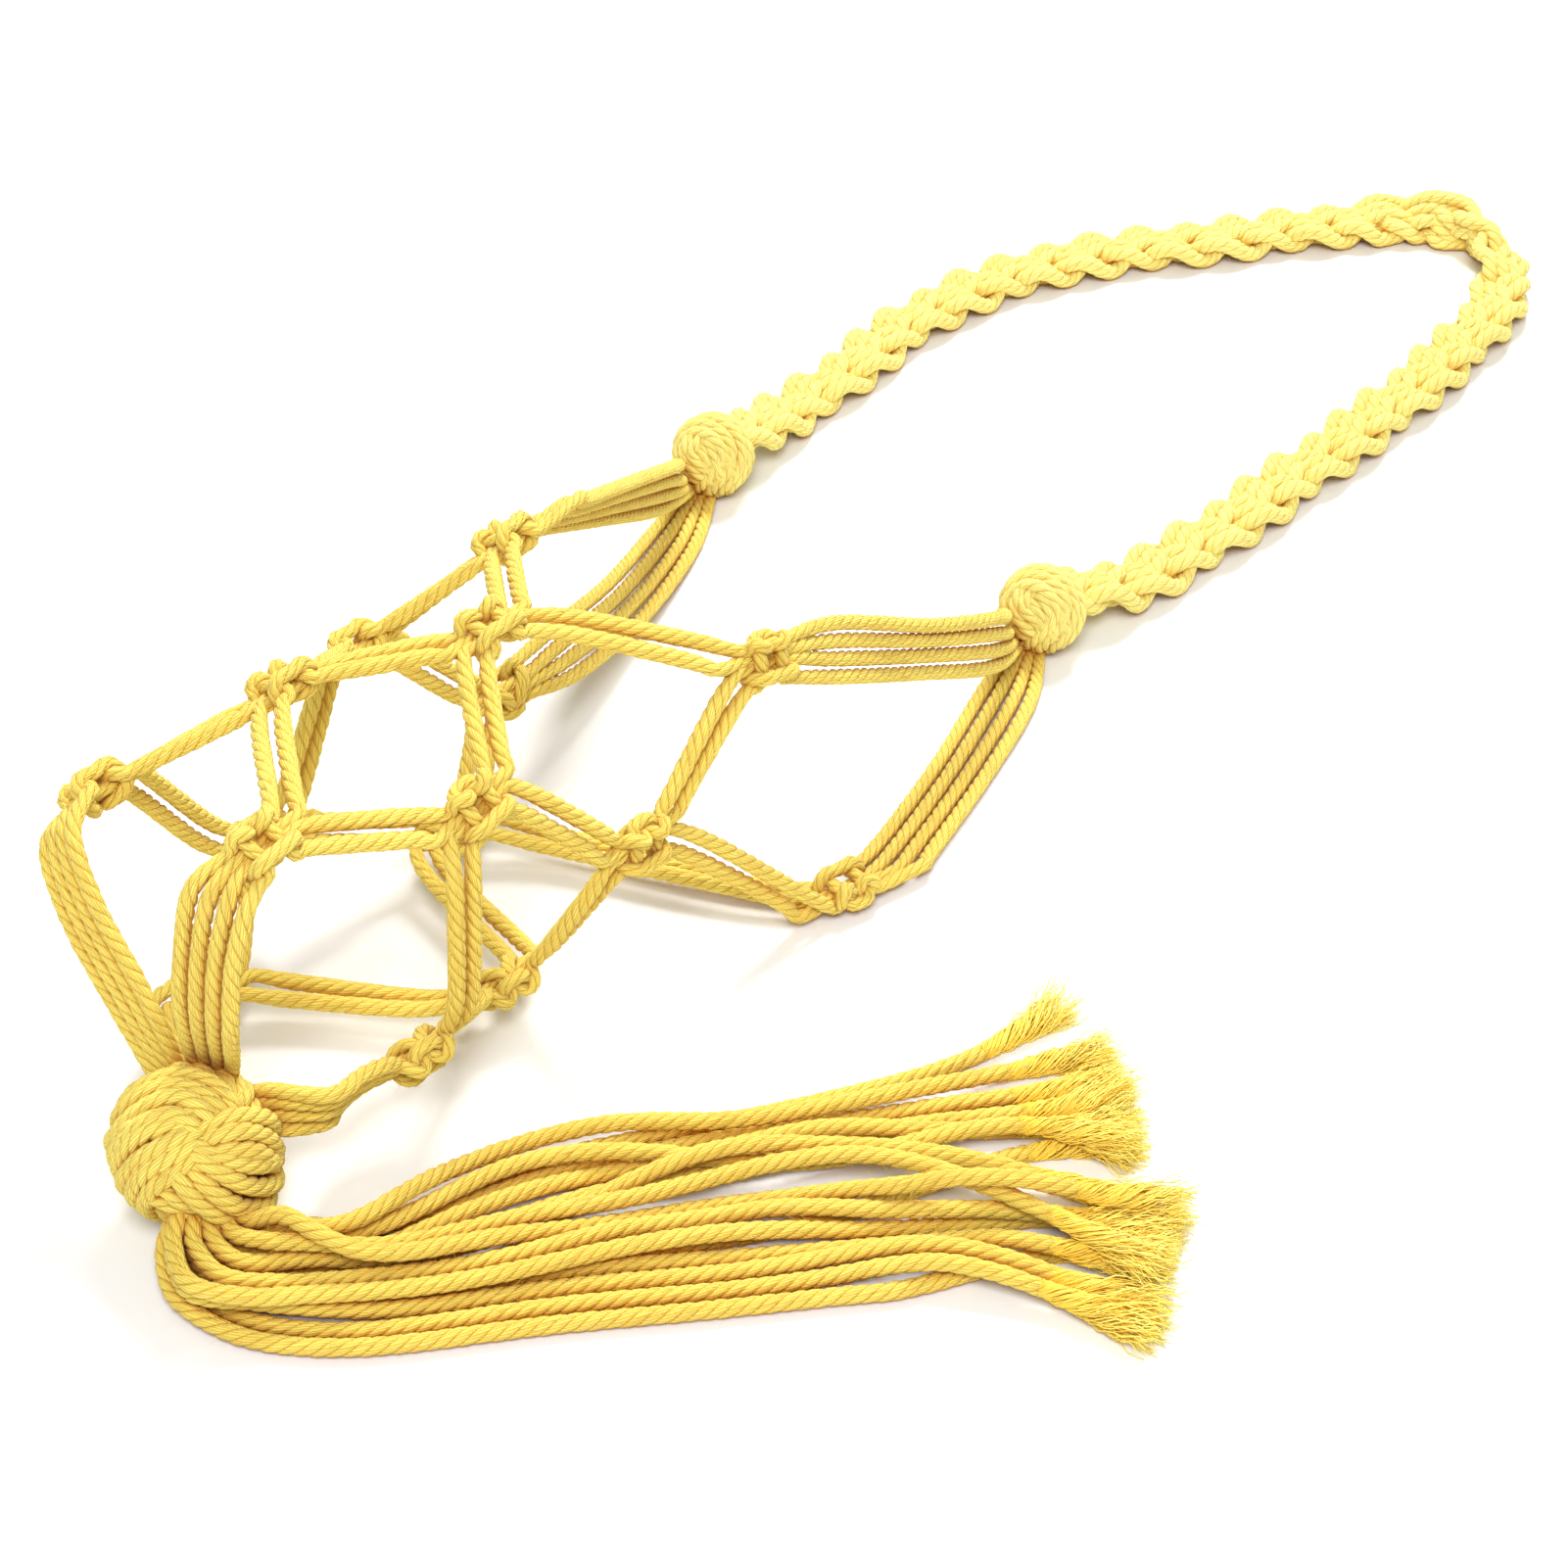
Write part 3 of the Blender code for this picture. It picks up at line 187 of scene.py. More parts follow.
# The tassel's cords on the floor, from the middle of the large knot, in the order in which
# they are laid on each other.
TASSEL_ROUTES = (
    ((-0.0149, -0.0049), (-0.0189, -0.0181), (-0.0195, -0.0279), (-0.0191, -0.0380),
     (-0.0172, -0.0446), (-0.0124, -0.0512), (-0.0033, -0.0599), (0.0061, -0.0653),
     (0.0214, -0.0785), (0.0356, -0.0932), (0.0494, -0.1062), (0.0592, -0.1140),
     (0.0751, -0.1249), (0.0910, -0.1360), (0.1028, -0.1436), (0.1139, -0.1532),
     (0.1210, -0.1647)),
    ((-0.0158, -0.0172), (-0.0159, -0.0306), (-0.0115, -0.0405), (-0.0062, -0.0492),
     (0.0014, -0.0557), (0.0140, -0.0644), (0.0204, -0.0691), (0.0276, -0.0763),
     (0.0325, -0.0821), (0.0435, -0.0930), (0.0511, -0.1000), (0.0616, -0.1090),
     (0.0728, -0.1186), (0.0848, -0.1252), (0.0915, -0.1318), (0.0935, -0.1418),
     (0.0956, -0.1518), (0.0962, -0.1591), (0.0971, -0.1678), (0.0988, -0.1763)),
    ((-0.0104, -0.0186), (-0.0086, -0.0315), (-0.0010, -0.0438), (0.0148, -0.0562),
     (0.0316, -0.0689), (0.0452, -0.0803), (0.0510, -0.0915), (0.0602, -0.0996),
     (0.0697, -0.1051), (0.0833, -0.1182), (0.0934, -0.1352), (0.1015, -0.1495),
     (0.1105, -0.1606), (0.1161, -0.1678)),
    ((-0.0064, -0.0158), (-0.0029, -0.0282), (0.0046, -0.0379), (0.0151, -0.0444),
     (0.0285, -0.0500), (0.0365, -0.0533), (0.0463, -0.0596), (0.0608, -0.0660),
     (0.0742, -0.0764), (0.0910, -0.0872), (0.1069, -0.0992), (0.1210, -0.1089),
     (0.1319, -0.1170), (0.1430, -0.1244), (0.1530, -0.1325)),
    ((-0.0044, -0.0153), (-0.0010, -0.0262), (0.0049, -0.0361), (0.0159, -0.0407),
     (0.0258, -0.0394), (0.0352, -0.0372), (0.0454, -0.0403), (0.0557, -0.0479),
     (0.0665, -0.0551), (0.0766, -0.0633), (0.0848, -0.0670), (0.0894, -0.0715),
     (0.0957, -0.0748), (0.1086, -0.0810), (0.1200, -0.0887), (0.1277, -0.0955),
     (0.1392, -0.1013), (0.1498, -0.1035), (0.1571, -0.1032), (0.1676, -0.1015)),
    ((-0.0052, -0.0164), (-0.0022, -0.0279), (0.0033, -0.0382), (0.0119, -0.0422),
     (0.0203, -0.0436), (0.0304, -0.0447), (0.0420, -0.0443), (0.0492, -0.0446),
     (0.0549, -0.0466), (0.0645, -0.0560), (0.0753, -0.0642), (0.0860, -0.0745),
     (0.1048, -0.0883), (0.1168, -0.0954), (0.1292, -0.1025), (0.1377, -0.1125),
     (0.1447, -0.1218), (0.1546, -0.1287)),
    ((-0.0165, -0.0188), (-0.0159, -0.0313), (-0.0111, -0.0406), (-0.0044, -0.0477),
     (0.0041, -0.0530), (0.0206, -0.0653), (0.0293, -0.0711), (0.0373, -0.0741),
     (0.0452, -0.0809), (0.0508, -0.0865), (0.0556, -0.0960), (0.0662, -0.1080),
     (0.0806, -0.1203), (0.0877, -0.1304), (0.0936, -0.1414), (0.0997, -0.1526),
     (0.1030, -0.1577), (0.1045, -0.1661), (0.1046, -0.1746)),
    ((-0.0102, -0.0192), (-0.0071, -0.0304), (0.0008, -0.0421), (0.0162, -0.0520),
     (0.0308, -0.0603), (0.0421, -0.0720), (0.0498, -0.0871), (0.0620, -0.0972),
     (0.0713, -0.1008), (0.0809, -0.1048), (0.0900, -0.1120), (0.1025, -0.1153),
     (0.1167, -0.1176), (0.1279, -0.1239), (0.1356, -0.1303), (0.1416, -0.1424)),
    ((-0.0070, -0.0170), (-0.0027, -0.0284), (0.0030, -0.0399), (0.0107, -0.0464),
     (0.0195, -0.0490), (0.0284, -0.0505), (0.0375, -0.0527), (0.0504, -0.0510),
     (0.0564, -0.0563), (0.0630, -0.0611), (0.0717, -0.0674), (0.0807, -0.0741),
     (0.0935, -0.0851), (0.1016, -0.0950), (0.1116, -0.1038), (0.1210, -0.1128),
     (0.1320, -0.1208), (0.1398, -0.1293), (0.1461, -0.1384)),
    ((-0.0062, -0.0179), (-0.0029, -0.0291), (0.0028, -0.0390), (0.0097, -0.0434),
     (0.0168, -0.0441), (0.0302, -0.0415), (0.0377, -0.0413), (0.0506, -0.0400),
     (0.0595, -0.0500), (0.0624, -0.0582), (0.0653, -0.0663), (0.0729, -0.0776),
     (0.0868, -0.0876), (0.1000, -0.0963), (0.1113, -0.1039), (0.1260, -0.1128),
     (0.1300, -0.1180), (0.1359, -0.1292), (0.1386, -0.1428)),
    ((-0.0065, -0.0183), (-0.0032, -0.0296), (0.0011, -0.0414), (0.0082, -0.0454),
     (0.0149, -0.0451), (0.0244, -0.0419), (0.0331, -0.0388), (0.0440, -0.0374),
     (0.0525, -0.0381), (0.0614, -0.0406), (0.0685, -0.0450), (0.0742, -0.0545),
     (0.0764, -0.0636), (0.0775, -0.0697), (0.0843, -0.0780), (0.0941, -0.0845),
     (0.1062, -0.0912), (0.1208, -0.0964), (0.1350, -0.1021), (0.1433, -0.1083),
     (0.1538, -0.1138), (0.1620, -0.1199)),
    ((-0.0152, -0.0139), (-0.0170, -0.0252), (-0.0158, -0.0340), (-0.0113, -0.0413),
     (-0.0058, -0.0452), (0.0060, -0.0516), (0.0180, -0.0609), (0.0261, -0.0672),
     (0.0359, -0.0720), (0.0431, -0.0761), (0.0530, -0.0846), (0.0615, -0.0910),
     (0.0725, -0.1027), (0.0782, -0.1102), (0.0851, -0.1168), (0.0950, -0.1249),
     (0.1051, -0.1329), (0.1137, -0.1409), (0.1216, -0.1528), (0.1275, -0.1624)),
    ((-0.0135, -0.0161), (-0.0110, -0.0286), (-0.0070, -0.0375), (0.0004, -0.0444),
     (0.0090, -0.0484), (0.0183, -0.0560), (0.0272, -0.0661), (0.0333, -0.0711),
     (0.0427, -0.0728), (0.0525, -0.0779), (0.0627, -0.0828), (0.0721, -0.0885),
     (0.0801, -0.1046), (0.0864, -0.1156), (0.0951, -0.1247), (0.1065, -0.1331),
     (0.1138, -0.1457), (0.1218, -0.1613)),
    ((-0.0118, -0.0173), (-0.0095, -0.0269), (-0.0053, -0.0347), (0.0007, -0.0413),
     (0.0106, -0.0466), (0.0227, -0.0515), (0.0340, -0.0573), (0.0510, -0.0638),
     (0.0672, -0.0715), (0.0816, -0.0811), (0.0930, -0.0939), (0.1072, -0.1072),
     (0.1111, -0.1121), (0.1144, -0.1218), (0.1181, -0.1272), (0.1218, -0.1364),
     (0.1232, -0.1439), (0.1268, -0.1554)),
    ((-0.0106, -0.0190), (-0.0086, -0.0300), (-0.0051, -0.0379), (0.0002, -0.0437),
     (0.0096, -0.0482), (0.0205, -0.0512), (0.0327, -0.0538), (0.0401, -0.0575),
     (0.0459, -0.0626), (0.0529, -0.0670), (0.0596, -0.0715), (0.0698, -0.0765),
     (0.0787, -0.0828), (0.0932, -0.0938), (0.1002, -0.1005), (0.1027, -0.1108),
     (0.1031, -0.1226), (0.1042, -0.1334), (0.1068, -0.1457), (0.1089, -0.1564),
     (0.1118, -0.1679)),
    ((-0.0109, -0.0203), (-0.0088, -0.0266), (-0.0074, -0.0359), (-0.0034, -0.0435),
     (0.0024, -0.0481), (0.0098, -0.0513), (0.0173, -0.0543), (0.0281, -0.0584),
     (0.0396, -0.0686), (0.0459, -0.0699), (0.0561, -0.0746), (0.0665, -0.0795),
     (0.0743, -0.0866), (0.0804, -0.0961), (0.0857, -0.1080), (0.0915, -0.1196),
     (0.0962, -0.1285), (0.1017, -0.1320), (0.1079, -0.1384), (0.1176, -0.1468),
     (0.1254, -0.1535), (0.1317, -0.1612)),
)


def unit(vector):
    vector = np.asarray(vector, dtype=float)
    return vector / np.linalg.norm(vector)


def units(vectors):
    return vectors / np.linalg.norm(vectors, axis=-1)[..., None]


def run_along(line):
    """How far along a line each of its points is."""
    return np.append(0, np.cumsum(np.linalg.norm(np.diff(line, axis=0), axis=1)))


def length_of(line):
    return float(np.linalg.norm(np.diff(line, axis=0), axis=1).sum())


def read_at(places, run, values):
    """The columns of values, which are known at each place of run, at other places."""
    return np.stack([np.interp(places, run, column) for column in values.T], axis=1)


def direction(azimuth, elevation):
    a, e = math.radians(azimuth), math.radians(elevation)
    return np.array((math.cos(a) * math.cos(e), math.sin(a) * math.cos(e), math.sin(e)))


def smooth_route(points, sections):
    """A smooth curve through the points, read at a number of sections between each two."""
    p = np.asarray(points, dtype=float)
    p = np.vstack((2 * p[0] - p[1], p, 2 * p[-1] - p[-2]))
    out = []
    for k in range(1, len(p) - 2):
        a, b, c, d = p[k - 1:k + 3]
        for t in np.arange(sections) / sections:
            out.append((2 * b + (c - a) * t + (2 * a - 5 * b + 4 * c - d) * t ** 2
                        + (3 * b - a - 3 * c + d) * t ** 3) / 2)
    out.append(p[-2])
    return np.array(out)


def even_route(points, step):
    """A smooth curve through the points, read at equal steps along it."""
    fine = smooth_route(points, ROUTE_SECTIONS)
    run = run_along(fine)
    at = np.linspace(0, run[-1], max(3, round(run[-1] / step) + 1))
    return read_at(at, run, fine)


def band_height(way, bands):
    """How far the bands of cord stand off a knot's core in one direction, as a share."""
    height = 0
    for axis, offset, half_width, rise in bands:
        off = abs(float(np.dot(way, unit(axis))) - offset) / half_width
        if off < 1:
            height = max(height, rise * math.sqrt(1 - off ** 2))
    return height


def knot_surface(way, radius, bands):
    """Distance of a round knot's surface from its centre in one direction."""
    way = unit(way)
    top = max((band[-1] for band in bands), default=0)
    return radius * (1 - top + band_height(way, bands))


# Square knots of the net

def net_point(along, angle, reach):
    a = math.radians(angle)
    return np.array((along, -reach * math.cos(a), NET_AXIS_HEIGHT + reach * math.sin(a)))


def reach_of(point):
    return math.hypot(point[1], point[2] - NET_AXIS_HEIGHT)


def knot_centre(knot):
    if knot == FLOOR_KNOT:
        height = KNOT_PITCH * KNOT_CENTRE_share
        return np.array((knot_shares[knot] * NET_LENGTH, -SLACK_KNOT_REACH, height))
    reach = NET_RADIUS + KNOT_CENTRE_share * KNOT_PITCH
    return net_point(knot_shares[knot] * NET_LENGTH, KNOT_ANGLES[knot], reach)


def knot_frame(knot):
    """Directions in a knot: along its cords towards the base, across them, and outwards."""
    centre = knot_centre(knot)
    above = [knot_centre(k) for k in NEXT_KNOTS if knot in NEXT_KNOTS[k]]
    if not above:
        above = [side_centre(knot)]
    below = [knot_centre(k) for k in NEXT_KNOTS.get(knot, "")]
    if not below:
        below = [centre - (centre - above[0]) * (-1, 0, 0)]
    along = unit(unit(np.mean(below, axis=0) - centre) - unit(np.mean(above, axis=0) - centre))
    if knot == FLOOR_KNOT:
        outward = np.array((0, 0, 1.0))
        across = np.array((0, -1.0, 0))
    else:
        a = math.radians(KNOT_ANGLES[knot])
        outward = np.array((0, -math.cos(a), math.sin(a)))
        across = np.array((0, math.sin(a), math.cos(a)))
    along = unit(along - outward * np.dot(along, outward))
    across = unit(across - along * np.dot(across, along))
    return centre, along, across, outward


def side_centre(knot):
    height = SIDE_KNOT_RADIUS - FOOT_DEPTH
    if knot in "IA":
        return np.array((SIDE_KNOT_REACH, -FRONT_KNOT_OFFSET, height))
    return np.array((SIDE_KNOT_REACH, BACK_KNOT_OFFSET, height))


def knot_path(knot, place):
    """A cord's way through a knot, from its upper side to its lower side."""
    centre, along, across, outward = knot_frame(knot)
    half = list(WORKER_shares[place])
    length = 2 * KNOT_HALF_share
    other = [(length - u, v, w) for u, v, w in reversed(half)]
    if half[-1][0] == KNOT_HALF_share:
        other = other[1:]
    path = []
    for u, v, w in half + other:
        local = along * (u - KNOT_HALF_share) + across * v + outward * w
        path.append(centre + local * KNOT_PITCH)
    return path


def least_reach(along):
    """How near to the axis a cord's centre may come at one place along the net."""
    side = NET_RADIUS + CORD_DIAMETER / 2
    into = BASE_CORNER_RADIUS - CORD_DIAMETER / 2 - along
    if into <= 0:
        return side
    if into >= BASE_CORNER_RADIUS:
        return 0
    return side - BASE_CORNER_RADIUS + math.sqrt(BASE_CORNER_RADIUS ** 2 - into ** 2)


def clear_of_space(point):
    """The point, moved out of the net's round space and off the floor where it has to be."""
    reach, least = reach_of(point), least_reach(point[0])
    if reach < least:
        point[1] *= least / reach
        point[2] = NET_AXIS_HEIGHT + (point[2] - NET_AXIS_HEIGHT) * least / reach
    point[2] = max(point[2], CORD_DIAMETER / 2 + FLOOR_CLEARANCE)
    return point


def link_path(start, start_way, end, end_way, shares, bend):
    """A cord's slack bend between two knots."""
    handle = np.linalg.norm(end - start) * bend
    a, d = start, end
    b, c = start + start_way * handle, end - end_way * handle
    path = []
    for t in shares:
        s = 1 - t
        point = a * s ** 3 + b * 3 * s ** 2 * t + c * 3 * s * t ** 2 + d * t ** 3
        path.append(clear_of_space(point))
    return path


def side_of(run, point):
    """Direction along the net's surface in which a link's cords lie beside each other."""
    outward = unit((0, point[1], point[2] - NET_AXIS_HEIGHT))
    return unit(np.cross(run, outward))


def bundle_path(starts, start_way, ends, end_way, place, pitch, shares, sides=None, seated=(),
                bend=LINK_HANDLE_share):
    """A cord's way in a pair or a bundle that runs side by side from knot to knot.

    The cords leave the upper knot straight, each until it is in line with its place in
    the bundle, and enter the lower one in the same way. At an end named in seated they
    are seated on a round knot instead. Returns the points, and which of them are tight.
    """
    offs = {k: (k - sum(starts) / len(starts)) * pitch for k in starts}
    middle = sum(starts.values()) / len(starts)
    goal = sum(ends.values()) / len(ends)
    line = [middle] + link_path(middle, start_way, goal, end_way, shares, bend) + [goal]
    path, tight = [], []
    for n, point in enumerate(line):
        at_start, at_end = n == 0, n == len(line) - 1
        run = unit(line[min(n + 1, len(line) - 1)] - line[max(n - 1, 0)])
        side = side_of(run, point)
        if sides:
            t = n / (len(line) - 1)
            mix = [unit(k - run * np.dot(k, run)) * w for k, w in zip(sides, (1 - t, t))]
            side = unit(mix[0] + mix[1])
        if not at_start and not at_end:
            path.append(clear_of_space(point + side * offs[place]))
            tight.append(False)
            continue
        knot_side, way = (starts, start_way) if at_start else (ends, -end_way)
        slant = np.dot(way, side)
        if ("start" if at_start else "end") in seated or abs(slant) < STUB_SLANT_share:
            continue
        stubs = {k: (point + side * offs[k] - knot_side[k]) @ side / slant for k in starts}
        stub = stubs[place] - min(stubs.values())
        if stub > KNOT_PITCH * STUB_LEAST_share:
            path.append(knot_side[place] + way * stub)
            tight.append(True)
    return path, tight


def seat(centre, way, radius, bands):
    """Where a cord meets a round knot, and one diameter out from there."""
    way = unit(way)
    side = unit(np.cross(way, RIM_GUIDE))
    other = np.cross(way, side)
    heights = [knot_surface(way, radius, bands)]
    for n in range(RIM_POINTS):
        angle = 2 * math.pi * n / RIM_POINTS
        rim = (side * math.cos(angle) + other * math.sin(angle)) * TIGHT_CORD_DIAMETER / 2
        near = unit(way * radius + rim)
        heights.append(knot_surface(near, radius, bands) * np.dot(near, way))
    at = max(heights) + SEAT_CLEARANCE
    return centre + way * at, centre + way * (at + CORD_DIAMETER)


def entry_way(knot, place):
    """Direction from the large knot's centre to where a cord of the net meets it."""
    middle = unit(TASSEL_ENTRY_shares[knot])
    across = knot_frame(knot)[2]
    across = unit(across - middle * np.dot(across, middle))
    turn = math.radians((place - MIDDLE_PLACE) * ENTRY_STEP)
    return middle * math.cos(turn) + across * math.sin(turn)


def side_entry(top, place):
    if top == "J":
        return direction(*UPPER_ENTRIES[3 - place])
    return direction(*(UPPER_ENTRIES if top == "A" else LOWER_ENTRIES)[place])


def net_cord(top, place):
    """One cord of the net: from its side knot through four square knots to the large knot."""
    squeezed, free = TIGHT_CORD_DIAMETER / 2, CORD_DIAMETER / 2
    leg, tail = (squeezed + 2 * free) / 3, (2 * squeezed + free) / 3

    def add(link, radius):
        points, tight = link
        path.extend(points)
        radii.extend([squeezed if k else radius for k in tight])

    seats = {k: seat(side_centre(top), side_entry(top, k), SIDE_KNOT_RADIUS, ())
             for k in range(4)}
    path, radii = list(seats[place]), [squeezed, squeezed]
    along, across = knot_frame(top)[1:3]
    starts = {k: second for k, (first, second) in seats.items()}
    ends = {k: knot_path(top, k)[0] for k in range(4)}
    fan = (side_entry(top, 3) - side_entry(top, 0), across)
    add(bundle_path(starts, unit(side_entry(top, 1) + side_entry(top, 2)), ends, along,
                    place, TAIL_PITCH, LEG_SECTION_shares, fan, ("start",)), leg)
    knot = top
    while True:
        path += knot_path(knot, place)
        radii += [squeezed] * (len(path) - len(radii))
        along, across = knot_frame(knot)[1:3]
        if knot not in NEXT_KNOTS:
            break
        below, next_place = NEXT_KNOTS[knot][place // 2], NEXT_PLACE[place]
        pair = (place & 2, place | 1)
        starts = {k: knot_path(knot, k)[-1] for k in pair}
        ends = {k: knot_path(below, NEXT_PLACE[k])[0] for k in pair}
        add(bundle_path(starts, along, ends, knot_frame(below)[1], place, PAIR_PITCH,
                        LINK_SECTION_shares), free)
        knot, place = below, next_place
    starts = {k: knot_path(knot, k)[-1] for k in range(4)}
    seats = {k: seat(tassel_centre, entry_way(knot, k), TASSEL_KNOT_RADIUS, BAND_shares)
             for k in range(4)}
    ends = {k: before for k, (last, before) in seats.items()}
    fan = (across, entry_way(knot, 3) - entry_way(knot, 0))
    add(bundle_path(starts, along, ends, -entry_way(knot, MIDDLE_PLACE), place, TAIL_PITCH,
                    TAIL_SECTION_shares, fan, ("start", "end"), TAIL_HANDLE_share), tail)
    path += [seats[place][1], seats[place][0]]
    radii += [squeezed, squeezed]
    return path, radii


# Tassel

def tassel_exits():
    """Directions from the large knot's centre to where the tassel's cords leave it."""
    middle = unit(TASSEL_EXIT_shares)
    side = unit(np.cross((0, 0, 1), middle))
    up = np.cross(middle, side)
    up = up * math.copysign(1, up[2])
    step = TASSEL_CORD_PITCH / TASSEL_KNOT_RADIUS
    ways = []
    for row, count in enumerate(TASSEL_ROWS):
        rise = (row - (len(TASSEL_ROWS) - 1) / 2) * step
        for k in range(count):
            turn = (k - (count - 1) / 2) * step
            flat = middle * math.cos(turn) + side * math.sin(turn)
            ways.append(unit(flat * math.cos(rise) + up * math.sin(rise)))
    return ways


def crossing(a, b, c, d):
    """Where, seen from above, lines a-b and c-d cross: the share along each, or -1."""
    first, second, start = (b - a)[:, :2], (d - c)[:, :2], (c - a)[:, :2]
    area = first[:, 0] * second[:, 1] - first[:, 1] * second[:, 0]
    area = np.where(area == 0, np.inf, area)
    s = (start[:, 0] * second[:, 1] - start[:, 1] * second[:, 0]) / area
    t = (start[:, 0] * first[:, 1] - start[:, 1] * first[:, 0]) / area
    meet = (area != np.inf) & (s >= 0) & (s <= 1) & (t >= 0) & (t <= 1)
    return np.where(meet, s, -1), np.where(meet, t, -1)


def lay_tassel(step, gap):
    """Lay the tassel's cords on the floor along their routes, each on those laid before it.

    Every cord starts at its own place on the large knot. The cords sink, keep to their
    routes, and push each other apart wherever two are closer than their thickness.
    """
    pitch = CORD_DIAMETER + gap
    floor = CORD_DIAMETER / 2 + FLOOR_CLEARANCE
    points, route, hold, cord = [], [], [], []
    for n, (way, plan) in enumerate(zip(tassel_exits(), TASSEL_ROUTES)):
        first, second = seat(tassel_centre, way, TASSEL_KNOT_RADIUS, BAND_shares)
        line = even_route(np.vstack((second[:2], tassel_centre[:2] + plan)), step)[1:]
        start = np.column_stack((line, np.full(len(line), floor + n * pitch * START_PITCHES)))
        rows = np.vstack((first, second, start))
        points.append(rows)
        route.append(rows[:, :2])
        hold.append(np.clip(np.arange(len(rows)) * step / LOOSE_LENGTH, 0, 1) ** 2)
        cord += [n] * len(rows)
    x, route, hold, cord = np.vstack(points), np.vstack(route), np.concatenate(hold), np.array(cord)
    new_cord = np.append(True, cord[1:] != cord[:-1])
    free = ~(new_cord | np.append(False, new_cord[:-1]))
    lone_end = np.append(new_cord[1:], True)
    inner = np.flatnonzero(free & ~lone_end)
    links = np.flatnonzero(~lone_end)
    settled = LAY_ROUNDS * 3 // 8
    for n in range(LAY_ROUNDS):
        if n % SEARCH_ROUNDS == 0:
            middle = (x[links] + x[links + 1]) / 2
            apart = np.linalg.norm(middle[:, None] - middle[None], axis=2)
            other = cord[links][:, None] != cord[links][None]
            i, j = (links[k] for k in np.nonzero((apart < step + SEARCH_PITCHES * pitch) & other))
        bend = SMOOTHING_shares[n // settled]
        x[inner] += bend * ((x[inner - 1] + x[inner + 1]) / 2 - x[inner])
        if n < settled:
            x[free, :2] += ROUTE_PULL_share * ((route - x[:, :2]) * hold[:, None])[free]
            x[free, 2] -= SINK_STEP * max(1 - n / settled, SLOWEST_SINK_share)
        x[free, 2] = np.maximum(x[free, 2], floor)
        low, high = np.where(cord[i] < cord[j], (i, j), (j, i))
        s, t = crossing(x[low], x[low + 1], x[high], x[high + 1])
        lift = pitch + x[low, 2] * (1 - s) + x[low + 1, 2] * s
        lift -= x[high, 2] * (1 - t) + x[high + 1, 2] * t
        crossed = np.flatnonzero((t >= 0) & (hold[low] == 1) & (hold[high] == 1) & (lift > 0))
        for k in crossed:
            x[high[k], 2] += lift[k] / 2
            x[high[k] + 1, 2] += lift[k] / 2
        run = (x[j + 1] - x[j])[:, None]
        from_start = x[i][:, None] + (x[i + 1] - x[i])[:, None] * SAMPLES[:, None] - x[j][:, None]
        t = np.clip((from_start * run).sum(2) / (run * run).sum(2), 0, 1)
        away = from_start - t[..., None] * run
        distance = np.linalg.norm(away, axis=2)
        a, b = np.nonzero(distance < pitch)
        push = away[a, b] * ((pitch / distance[a, b] - 1) / 2)[:, None]
        move, share = np.zeros_like(x), np.zeros(len(x))
        s, t = SAMPLES[b], t[a, b]
        ends = ((i[a], 1 - s, 1), (i[a] + 1, s, 1), (j[a], 1 - t, -1), (j[a] + 1, t, -1))
        for place, weight, sign in ends:
            np.add.at(move, place, sign * push * weight[:, None])
            np.add.at(share, place, weight)
        move /= np.maximum(share, LEAST_PUSH_share)[:, None] * PUSH_share
        x[free] += move[free]
        x[free, 2] = np.maximum(x[free, 2], floor)
    return [x[cord == n] for n in range(len(TASSEL_ROUTES))]


# Twisted cord, as it is drawn

ROPE_STEP = 0.0012              # between two rings of a drawn cord
CORD_SECTIONS = 10              # between two of its points, for its smooth line
LAY = 0.0132                    # in which a ply goes once round
PLIES = 4
YARNS_IN_PLY = 5                # that show in its surface
AROUND = 32                     # points round a cord
CREASE_DEPTH_share = 0.22       # of the grooves between the plies
CREASE_POWER = 3.0              # the higher, the narrower they are
LIFT_share = 1.04               # of its radius, by which a cord's middle is at least above the floor
TIP_share = 0.3                 # of a step, by which the middle of a cord's end stands out
SEED_TURN = 2.4                 # from one cord to the next, so that their plies don't line up
SEED_TINT_share = 0.618         # the same, for their shades
# How a cord's thickness varies: by which share, in radians a metre, and how that starts.
WOBBLE_shares = ((0.020, 700, 1), (0.015, 1900, 3))
STEEP_share = 0.9               # a line that rises more than this is nearly upright
STRAND_SIDES = 3                # of a single yarn or fibre
STRAND_TAPER_share = 0.5        # by which it is thinner at its end
STRAND_GUIDE = (0.36, 0.48, 0.8)    # a direction in which few of them run
UV_STRIP = 0.1                  # width of one side of them in the lay coordinates

random = np.random.default_rng(7)


def resample(path, radii, step):
    """The control points as an even, smooth line, with the radius and the way along it."""
    fine = smooth_route(np.column_stack((path, radii)), CORD_SECTIONS)
    run = run_along(fine[:, :3])
    at = np.linspace(0, run[-1], max(4, round(run[-1] / step) + 1))
    even = read_at(at, run, fine)
    return even[:, :3], even[:, 3], at


def frames(line):
    """Three directions at each point of a line, carried along it without turning."""
    ahead = units(np.gradient(line, axis=0))
    side = np.empty_like(line)
    side[0] = unit(np.cross(ahead[0], (0, 0, 1) if abs(ahead[0][2]) < STEEP_share else (1, 0, 0)))
    for n in range(1, len(line)):
        side[n] = unit(side[n - 1] - ahead[n] * np.dot(side[n - 1], ahead[n]))
    return ahead, side, np.cross(ahead, side)


def grid(*counts):
    """All combinations of indices below the counts, as one array for each of them."""
    return [index.ravel() for index in np.indices(counts)]


